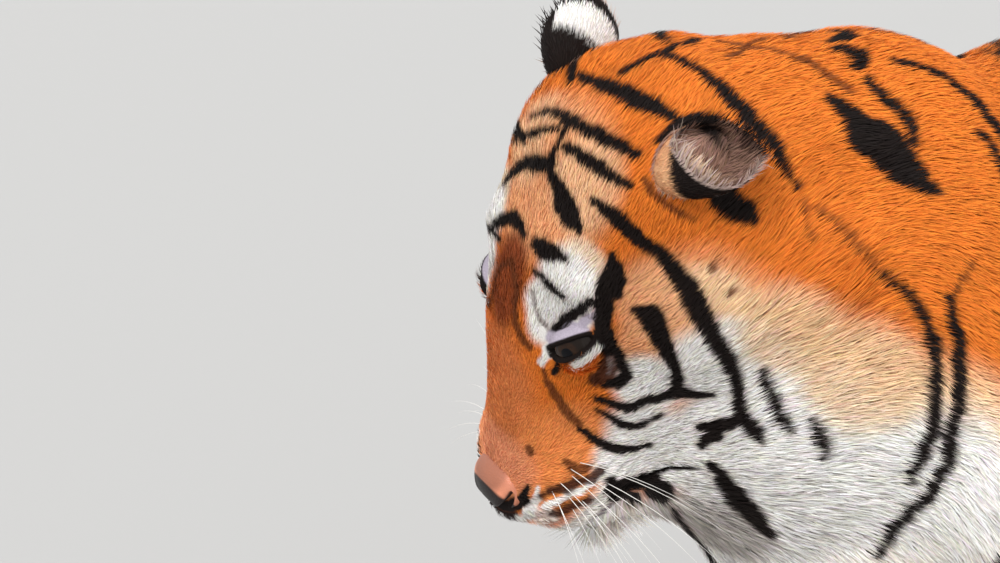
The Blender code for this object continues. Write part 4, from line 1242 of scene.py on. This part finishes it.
mesh = skin.data
mesh.calc_loop_triangles()
corners = rows_of(mesh.loop_triangles, "vertices", 3, np.int32)
points, normals = points_of(mesh), normals_of(mesh)
first, second, third = (points[corners[:, k]] for k in range(3))
area = sizes_of(np.cross(second - first, third - first)) / 2
wanted = area * in_blocks(density, points[corners].mean(axis=1), kind[corners[:, 0]])
count = np.floor(wanted + chance.random(len(wanted))).astype(int)
owner = np.repeat(np.arange(len(corners)), count)
share = chance.random((len(owner), 2))
fold = share.sum(axis=1) > 1
share[fold] = 1 - share[fold]
share = np.column_stack([1 - share.sum(axis=1), share])
root = (points[corners[owner]] * share[:, :, None]).sum(axis=1)
root_normal = unit((normals[corners[owner]] * share[:, :, None]).sum(axis=1))
root_kind = kind[corners[owner, 0]]
keep = bare(root) < 0.5
root, root_normal, root_kind = root[keep], root_normal[keep], root_kind[keep]
print("area", area.sum().round(3), "square metres,", len(root), "tufts")

# %% Comb them
EAR_BACK_HAIR, EAR_BOWL_HAIR, FRINGE_HAIR = (0.007, 0.0012), (0.012, 0.0035), (0.018, 0.0065)
BEARD_MIDDLE, BEARD_RADII, BEARD_HAIR = [-0.045, 0, -0.105], [0.070, 0.060, 0.050], 0.030
BLADE_WIDTH, WIDTH_PER_HAIR, ROOT_SINK, LOWEST = 0.00050, 0.032, 0.0004, 0.0006
BEND_AT, BEND_LIFT, BEND_NARROW = 0.45, 0.62, 0.8
TIP_AT, TIP_LIFT = 0.96, 0.92

hair, coat_depth, lie = in_blocks(coat_rule, root)
for side in (1, -1):
    across, ahead, upward = ear_axes(side)
    local, on_side, bowl = in_ear(root, side)
    mine = (root_kind > 0) & on_side
    inner = (mine & (root_kind >= INSIDE)) | (bowl & (root_kind == 0))
    fringe = inner & (local[:, 0] * side < -0.008) & (local[:, 2] < 0.040)
    for place, way, (long, deep) in (
        (mine, upward, EAR_BACK_HAIR),
        (inner, upward * 0.8 + ahead * 0.45, EAR_BOWL_HAIR),
        (fringe, upward * 0.9 + ahead * 0.8 + across * 0.25 * side, FRINGE_HAIR),
    ):
        lie[place], hair[place], coat_depth[place] = way, long, deep
beard = step(sizes_of((to_head(root) - BEARD_MIDDLE) / BEARD_RADII), 1.2, 0.8)
hair += beard * BEARD_HAIR
lie = unit(lie)
lie = unit(lie * (1 - beard[:, None]) + np.array([0.0, 0.25, -1.0]) * beard[:, None] * 1.4)
swirl = ripple(root, 0.05, 41)[:, None] * 0.16 + ripple(root, 0.015, 42)[:, None] * 0.10
aside = np.cross(root_normal, lie)
lie = lie + aside * (swirl + 0.10 * chance.normal(size=(len(root), 1)))
lie = unit(lie - root_normal * (lie * root_normal).sum(axis=1)[:, None])
hair = hair * chance.uniform(0.70, 1.15, len(root))
lift = np.clip(coat_depth * chance.uniform(0.55, 1.05, len(root)), 0, hair * 0.7)
lift *= 1 - 0.6 * step(root[:, 2], 0.02, 0.006)
roll = chance.normal(0, 0.30, len(root))[:, None]
flat = unit(np.cross(root_normal, lie))
flat = flat * np.cos(roll) + root_normal * np.sin(roll)
half = flat * ((BLADE_WIDTH + hair * WIDTH_PER_HAIR) / 2)[:, None]
bend = root + lie * (hair * BEND_AT)[:, None] + root_normal * (lift * BEND_LIFT)[:, None]
tip = root + lie * (hair * TIP_AT)[:, None] + root_normal * (lift * TIP_LIFT)[:, None]
base = root - root_normal * ROOT_SINK
narrow = half * BEND_NARROW
blades = np.stack([base - half, base + half, bend - narrow, bend + narrow, tip], axis=1)
blades[:, :, 2] = np.maximum(blades[:, :, 2], LOWEST)
print("hair from", (hair.min() * 1000).round(1), "to", (hair.max() * 1000).round(1), "mm")

# %% Colour them
# The last number of each level is painted shade and painted light: it darkens the root and brightens the
# tip of every blade.
LEVELS = (  # the blade's points, how far along it they take their colour, and how light they are
    ([0, 1], 0.28, 0.78),
    ([2, 3], 0.45, 0.97),
    ([4], 0.66, 1.10),
)
hue = 1 + 0.09 * chance.normal(size=(len(root), 1))
hue = hue + 0.05 * chance.normal(size=(len(root), 3)) * [0.3, 1, 1]
shades = np.empty((len(root), 5, 3))
for level, along, light in LEVELS:
    seen_at = root + lie * (hair * along * (root_kind == 0))[:, None]
    shade = in_blocks(markings, seen_at, root_normal, root_kind)
    shades[:, level] = np.clip(shade * hue * light, 0.003, 0.93)[:, None]
print("colours from", shades.min().round(3), "to", shades.max().round(3))

# %% [markdown]
# ## Pieces of the coat and their maps
# No piece may hold more than 200,000 triangles, so the coat is divided by region. Each piece also
# carries a flat map in which every tuft is one tiny patch at its root's place: round the trunk
# and the limbs as if a sleeve were slit and unrolled, and by longitude and latitude on the head.

# %% Divide the coat
NECK_END, CHEST_END, LOIN_END, LIMB_TOP, TAIL_FROM, FACE_BACK = -0.56, -0.18, 0.20, 0.50, 0.56, -0.17


def turn_about(one, two):
    """An angle as a share of the whole turn."""
    return np.arctan2(one, two) / (2 * math.pi) + 0.5


def sleeve(centre, axis, low, high):
    """A map that unrolls points round a line: the angle about it, and the place along it."""
    others = [k for k in range(3) if k != axis]

    def unrolled(points):
        away = points[:, others] - np.array(centre)
        return np.column_stack([turn_about(*away.T), (points[:, axis] - low) / (high - low)])

    return unrolled


def globe(points):
    """Longitude and latitude about the middle of the head, in the head's axes."""
    x, y, z = (to_head(points) - [-0.17, 0, -0.01]).T
    reach = np.sqrt(x * x + y * y + z * z)
    return np.column_stack([turn_about(z, x), np.arcsin(np.clip(y / reach, -1, 1)) / math.pi + 0.5])


def tail_map(points):
    around = turn_about(points[:, 0] - 0.03, points[:, 2] - 0.4)
    return np.column_stack([around, along_tail(points)[0] / 0.95])


def limb_map(x, y):
    return sleeve((x, y), 2, 0.0, LIMB_TOP)


def halves(name, mask, is_left, left_map, right_map):
    """One region as two pieces, its left half and its right half, each with its map."""
    return {name + "_left": (mask & is_left, left_map), name + "_right": (mask & ~is_left, right_map)}


in_head = to_head(root)
x, y, z = root.T
is_ear = root_kind > 0
is_head = (sizes_of(in_head - HEAD_MIDDLE) < 0.205) & (in_head[:, 0] > -0.33) & ~is_ear
is_tail = (along_tail(root)[1] < 0.07) & (y > TAIL_FROM) & ~is_head
is_limb = (z < LIMB_TOP) & ~is_head & ~is_tail
rest = ~(is_head | is_tail | is_limb | is_ear)
in_front, head_left, is_fore = in_head[:, 0] > FACE_BACK, in_head[:, 1] > 0, y < -0.1
neck_map, trunk_map = sleeve((NECK_MIDDLE, 0.70), 1, -1.0, -0.4), sleeve((0, 0.68), 1, -0.6, 0.7)
REGIONS = {
    "coat_ears": (is_ear, globe),
    **halves("coat_face", is_head & in_front, head_left, globe, globe),
    **halves("coat_head", is_head & ~in_front, head_left, globe, globe),
    **halves("coat_neck", rest & (y < NECK_END), x > NECK_MIDDLE, neck_map, neck_map),
    "coat_chest": (rest & (y >= NECK_END) & (y < CHEST_END), trunk_map),
    "coat_loin": (rest & (y >= CHEST_END) & (y < LOIN_END), trunk_map),
    "coat_rump": (rest & (y >= LOIN_END), trunk_map),
    **halves("coat_foreleg", is_limb & is_fore, x > 0, limb_map(0.125, -0.50), limb_map(-0.125, -0.62)),
    **halves("coat_hindleg", is_limb & ~is_fore, x > 0, limb_map(0.115, 0.42), limb_map(-0.115, 0.30)),
    "coat_tail": (is_tail, tail_map),
}
PATCH = np.array([[-0.0015, -0.0015], [0.0015, -0.0015], [-0.0012, 0], [0.0012, 0], [0, 0.0015]])
BLADE = np.array([[0, 1, 3], [0, 3, 2], [2, 3, 4]])
fur = grained("hair of the coat", 1400, 0.35, roughness=0.70, gloss=0.14)


def coat_piece(name, mask, unwrap):
    """One mesh of many blades; the same five points and three triangles repeat for each tuft."""
    mine = np.flatnonzero(mask)
    triangles = (np.arange(len(mine))[:, None, None] * 5 + BLADE[None]).reshape(-1, 3)
    piece = new_mesh(name, blades[mine].reshape(-1, 3), triangles)
    colour_attribute(piece, shades[mine].reshape(-1, 3))
    flat_map = np.clip(unwrap(root[mine]), 0.003, 0.997)[:, None, :] + PATCH[None]
    layer = piece.data.uv_layers.new(name="OFBake")
    layer.data.foreach_set("uv", flat_map.reshape(-1, 2)[triangles.ravel()].astype(np.float32).ravel())
    clad(piece, fur)
    return len(triangles)


total = 0
for name, (mask, unwrap) in REGIONS.items():
    made = coat_piece(name, mask, unwrap)
    total += made
    print(name, made, "triangles")
print("coat", total, "triangles")

# %% [markdown]
# ## Eyes
# Each eye is a ball of its true size, set as deep in the head as the real one. A value on its
# surface, the cosine between the point and the way the eye looks, drives the colours: a round
# black pupil, a brown iris, nearly as dark because the lid shades it, and the dark rest of the
# ball, which the lids cover.

# %% Eyes
IRIS_DARK, IRIS_LIGHT = (0.010, 0.006, 0.005, 1), (0.034, 0.016, 0.008, 1)
ROUND_IRIS, PUPIL = (0.012, 0.008, 0.006, 1), (0.002, 0.002, 0.003, 1)


def ball(name, centre, radii, axes, rings=32, around=48):
    """Centre + radii x (sin a cos f, sin a sin f, cos a), turned by the axes given as rows."""
    a = np.linspace(0, math.pi, rings)[:, None]
    f = np.linspace(0, 2 * math.pi, around, endpoint=False)[None]
    local = np.stack([np.sin(a) * np.cos(f), np.sin(a) * np.sin(f), np.cos(a) + 0 * f], axis=2)
    placed = centre + (local.reshape(-1, 3) * radii) @ axes
    piece = new_mesh(name, placed, grid_faces(rings, around)[:, [0, 3, 2, 1]])
    bm = bmesh.new()
    bm.from_mesh(piece.data)
    bmesh.ops.remove_doubles(bm, verts=bm.verts, dist=1e-6)
    bmesh.ops.recalc_face_normals(bm, faces=bm.faces)
    bm.to_mesh(piece.data)
    bm.free()
    piece.data.shade_smooth()
    return piece


def mix_over(tree, below, over, share):
    """A mix node: below where share is 0, over where it is 1."""
    mix = add_node(tree, "Mix", {"Factor": share, 6: below, 7: over}, data_type="RGBA")
    return mix.outputs[2]


def smooth_mask(tree, value, low, high):
    """0 at low, 1 at high, smooth between."""
    ranged = add_node(tree, "MapRange", {"From Min": low, "From Max": high, "Value": value},
                      interpolation_type="SMOOTHSTEP")
    return ranged.outputs["Result"]


wet_eye, shader = principled("wet eye", {"Roughness": 0.06, "Specular IOR Level": 0.12})
tree = wet_eye.node_tree
gaze = add_node(tree, "Attribute", {}, attribute_name="gaze").outputs["Fac"]
place = add_node(tree, "TexCoord", {}).outputs["Object"]
speckle = add_node(tree, "TexNoise", {"Scale": 420, "Vector": place}).outputs["Fac"]
iris = mix_over(tree, IRIS_DARK, IRIS_LIGHT, speckle)
iris = mix_over(tree, iris, ROUND_IRIS, smooth_mask(tree, gaze, 0.905, 0.845))
iris = mix_over(tree, iris, PUPIL, smooth_mask(tree, gaze, 0.962, 0.970))
tree.links.new(iris, shader.inputs["Base Color"])

for side, side_name in ((1, "left"), (-1, "right")):
    eye = ball("eye_ball_" + side_name, EYES[side], EYE_RADIUS, SLIT[side])
    looks = np.array([-0.10, -0.10, 0.97]) @ SLIT[side]
    looks /= np.linalg.norm(looks)
    number_attribute(eye, "gaze", unit(points_of(eye.data) - EYES[side]) @ looks)
    clad(eye, wet_eye, ["eye_" + side_name])
print("eye balls", EYE_RADIUS * 2000, "mm across")

# %% [markdown]
# ## The nose pad
# Bare leather, pink with a darker edge: broad above, narrow below, with a groove down the middle
# and a nostril on each side shaped like a comma that opens outwards.

# %% Nose
NOSE_RADII = np.array([0.0295, 0.0200, 0.0180])
NOSE_AXES = HEAD_AXES[[1, 2, 0]]
NOSTRIL_DEPTH, MIDDLE_DEPTH, WING_HEIGHT = 0.0085, 0.0022, 0.0018
PINK, DUSK = (0.76, 0.28, 0.16), (0.012, 0.006, 0.005)
centre = middle_of("nose")
nose = ball("nose_leather", centre, NOSE_RADII, NOSE_AXES, 110, 150)
across, up, out = ((points_of(nose.data) - centre) @ NOSE_AXES.T).T
wide = np.abs(across)
front = step(out, 0.0, 0.004)
narrow = 1 - 0.42 * step(up, 0.001, -0.017)
line = -0.0045 + 0.50 * (wide - 0.010) + 20 * (wide - 0.0145) ** 2
nostril = np.exp(-((up - line) / 0.0042) ** 4) * front
nostril = nostril * step(wide, 0.0070, 0.0105) * step(wide, 0.0290, 0.0250)
groove = np.exp(-(across / 0.0012) ** 2) * step(up, 0.004, -0.004) * front
wing = np.exp(-((wide - 0.0165) / 0.008) ** 2 - ((up - line - 0.0065) / 0.005) ** 2)
out = out - NOSTRIL_DEPTH * nostril - MIDDLE_DEPTH * groove + WING_HEIGHT * wing * front
out = out - 0.25 * np.maximum(up - 0.006, 0)
put_points(nose.data, centre + np.column_stack([across * narrow, up, out]) @ NOSE_AXES)
dark = step(up, -0.004, -0.011) + step(out, 0.0065, 0.0095) + nostril * 1.6 + groove * 0.7
dark = np.clip(dark + 0.55 * step(up, 0.0115, 0.0165), 0, 1)
dark = np.clip(dark + 0.35 * step(wide, 0.019, 0.025), 0, 1)
colour_attribute(nose, mixed(PINK, DUSK, dark[:, None]))
leather = grained("nose leather", 1100, 0.25, roughness=0.50, gloss=0.25, bump=0.0009, varnish=0.05)
clad(nose, leather, ["nose"])
print("nose leather", len(across), "points")

# %% [markdown]
# ## Whiskers
# Fourteen on each side, in rows on the pad. The first ones near the nose are short, those at the
# back of the pad reach past the cheek. They are stiff at the root and sag towards the tip.

# %% Whiskers
WHISKER_ROWS = [  # height on the pad, and the places along it, in metres in the head's axes
    (-0.012, (-0.030, -0.040, -0.052)),
    (-0.021, (-0.026, -0.036, -0.048, -0.060)),
    (-0.031, (-0.030, -0.040, -0.052, -0.064)),
    (-0.041, (-0.034, -0.044, -0.056)),
]
WHISKER_RADIUS, WHISKER_SAG = 0.000325, 0.22


def tapers(name, roots, ways, lengths, sag, radius, aside, rings, sides, squeeze=1.0):
    """Tapered pieces: root + way x length x t, lower by sag x length x t^2, with a round section.

    radius is a function of t, and squeeze narrows the section square to the way and to aside.
    """
    t = np.linspace(0, 1, rings)[None, :, None]
    line = roots[:, None] + ways[:, None] * lengths[:, None, None] * t
    line[:, :, 2] -= (sag * lengths)[:, None] * t[:, :, 0] ** 2
    first = unit(np.cross(ways, aside))
    second = unit(np.cross(ways, first))
    f = np.linspace(0, 2 * math.pi, sides, endpoint=False)[None, :, None]
    ring = first[:, None] * np.cos(f) * squeeze + second[:, None] * np.sin(f)
    grid = line[:, :, None] + ring[:, None] * radius(t[:, :, :, None])
    begins = np.arange(len(roots))[:, None, None] * rings * sides
    return new_mesh(name, grid.reshape(-1, 3), (begins + grid_faces(rings, sides)).reshape(-1, 4))


roots, ways, lengths = [], [], []
for side in (1, -1):
    for z, places in WHISKER_ROWS:
        for x in places:
            roots.append(on_skin(from_head([x, side * 0.055, z])))
            back = (-x - 0.026) / 0.038
            way = np.array([0.35 - 0.75 * back, side * 1.0, -0.28 + 6 * (z + 0.026)])
            ways.append((way + chance.normal(0, 0.06, 3)) @ HEAD_AXES)
            lengths.append((0.055 + 0.075 * back) * chance.uniform(0.85, 1.1))
whiskers = tapers("whiskers", np.array(roots), unit(np.array(ways)), np.array(lengths), WHISKER_SAG,
                  lambda t: WHISKER_RADIUS * (1 - 0.9 * t), [0.1, 0.2, 0.97], rings=9, sides=5)
white_hair = grained("white stiff hair", 900, 0.1, roughness=0.4, colour=(0.82, 0.79, 0.74))
clad(whiskers, white_hair)
print("whiskers", len(roots))

# %% [markdown]
# ## Claws
# A standing cat keeps its claws in their sheaths, so only a dark tip shows at the end of each toe.

# %% Claws
TOES_AT = (-0.74, -0.25, 0.25, 0.74)
CLAW_LENGTH, CLAW_RADIUS, CLAW_SAG = 0.013, 0.0042, 0.35
claw_roots = []
for paw, half_width in HALF_TOES.items():
    low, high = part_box(paw)
    for toe in TOES_AT:
        across = (low.x + high.x) / 2 + toe * half_width
        end = Vector((across, low.y + 0.006 + 0.030 * toe ** 2, 0.022))
        claw_roots.append(on_skin(end) + [0, 0.003, 0])
claw_ways = np.tile([0.0, -0.93, -0.35], (len(claw_roots), 1))
claws = tapers("claws", np.array(claw_roots), claw_ways, np.full(len(claw_roots), CLAW_LENGTH), CLAW_SAG,
               lambda t: CLAW_RADIUS * (1.02 - t) ** 0.7, [0, 0, 1.0], rings=7, sides=10, squeeze=0.7)
horn = grained("horn", 300, 0.3, roughness=0.35, colour=(0.10, 0.075, 0.055))
clad(claws, horn)
print("claws", len(claw_roots))

# %% [markdown]
# ## Stage, light and camera
# A pale floor, one broad soft sun high in front on the animal's left, two weaker ones to fill the
# shade, and a pale sky. The camera looks down on the head from the animal's left.

# %% Floor and lights
bpy.ops.mesh.primitive_plane_add(size=60, location=(0, 0, 0))
floor = bpy.context.object
floor.name = "floor"
floor.data.materials.append(
    principled("pale floor", {"Base Color": (0.42, 0.412, 0.40, 1), "Roughness": 0.9})[0])


def sun(name, towards, spread, strength):
    data = bpy.data.lights.new(name, "SUN")
    data.angle, data.energy = math.radians(spread), strength
    piece = bpy.data.objects.new(name, data)
    bpy.context.scene.collection.objects.link(piece)
    piece.rotation_euler = Vector(towards).to_track_quat("Z", "Y").to_euler()


sun("key", (0.75, -0.55, 1.25), 25, 2.6)
sun("fill", (0.9, 0.9, 0.6), 90, 0.85)
sun("far side", (-1.0, -0.3, 0.7), 90, 0.75)
world = bpy.context.scene.world or bpy.data.worlds.new("sky")
bpy.context.scene.world = world
world.use_nodes = True
sky = world.node_tree.nodes["Background"].inputs
sky["Color"].default_value = (0.90, 0.93, 0.96, 1)
sky["Strength"].default_value = 0.80

# %% Camera
AZIMUTH, ELEVATION, DISTANCE = math.radians(71), math.radians(29), 5.0
LENS, SENSOR = 248.4, 36
AIM_RIGHT, AIM_UP = 0.013, 0.148
level = math.cos(ELEVATION)
back = np.array([math.sin(AZIMUTH) * level, -math.cos(AZIMUTH) * level, math.sin(ELEVATION)])
right = np.array([math.cos(AZIMUTH), math.sin(AZIMUTH), 0])
up = np.cross(back, right)
aim = NOSE_TIP + AIM_RIGHT * right + AIM_UP * up
camera = bpy.data.objects.new("camera", bpy.data.cameras.new("camera"))
bpy.context.scene.collection.objects.link(camera)
camera.data.lens, camera.data.sensor_width = LENS, SENSOR
camera.location = Vector(aim + back * DISTANCE)
camera.rotation_euler = Matrix(np.array([right, up, back]).T.tolist()).to_euler()
bpy.context.scene.camera = camera
bpy.context.scene.view_settings.view_transform = "Standard"
print("camera at", np.round(camera.location, 3).tolist())

# %% Update the scene
bpy.context.view_layer.update()
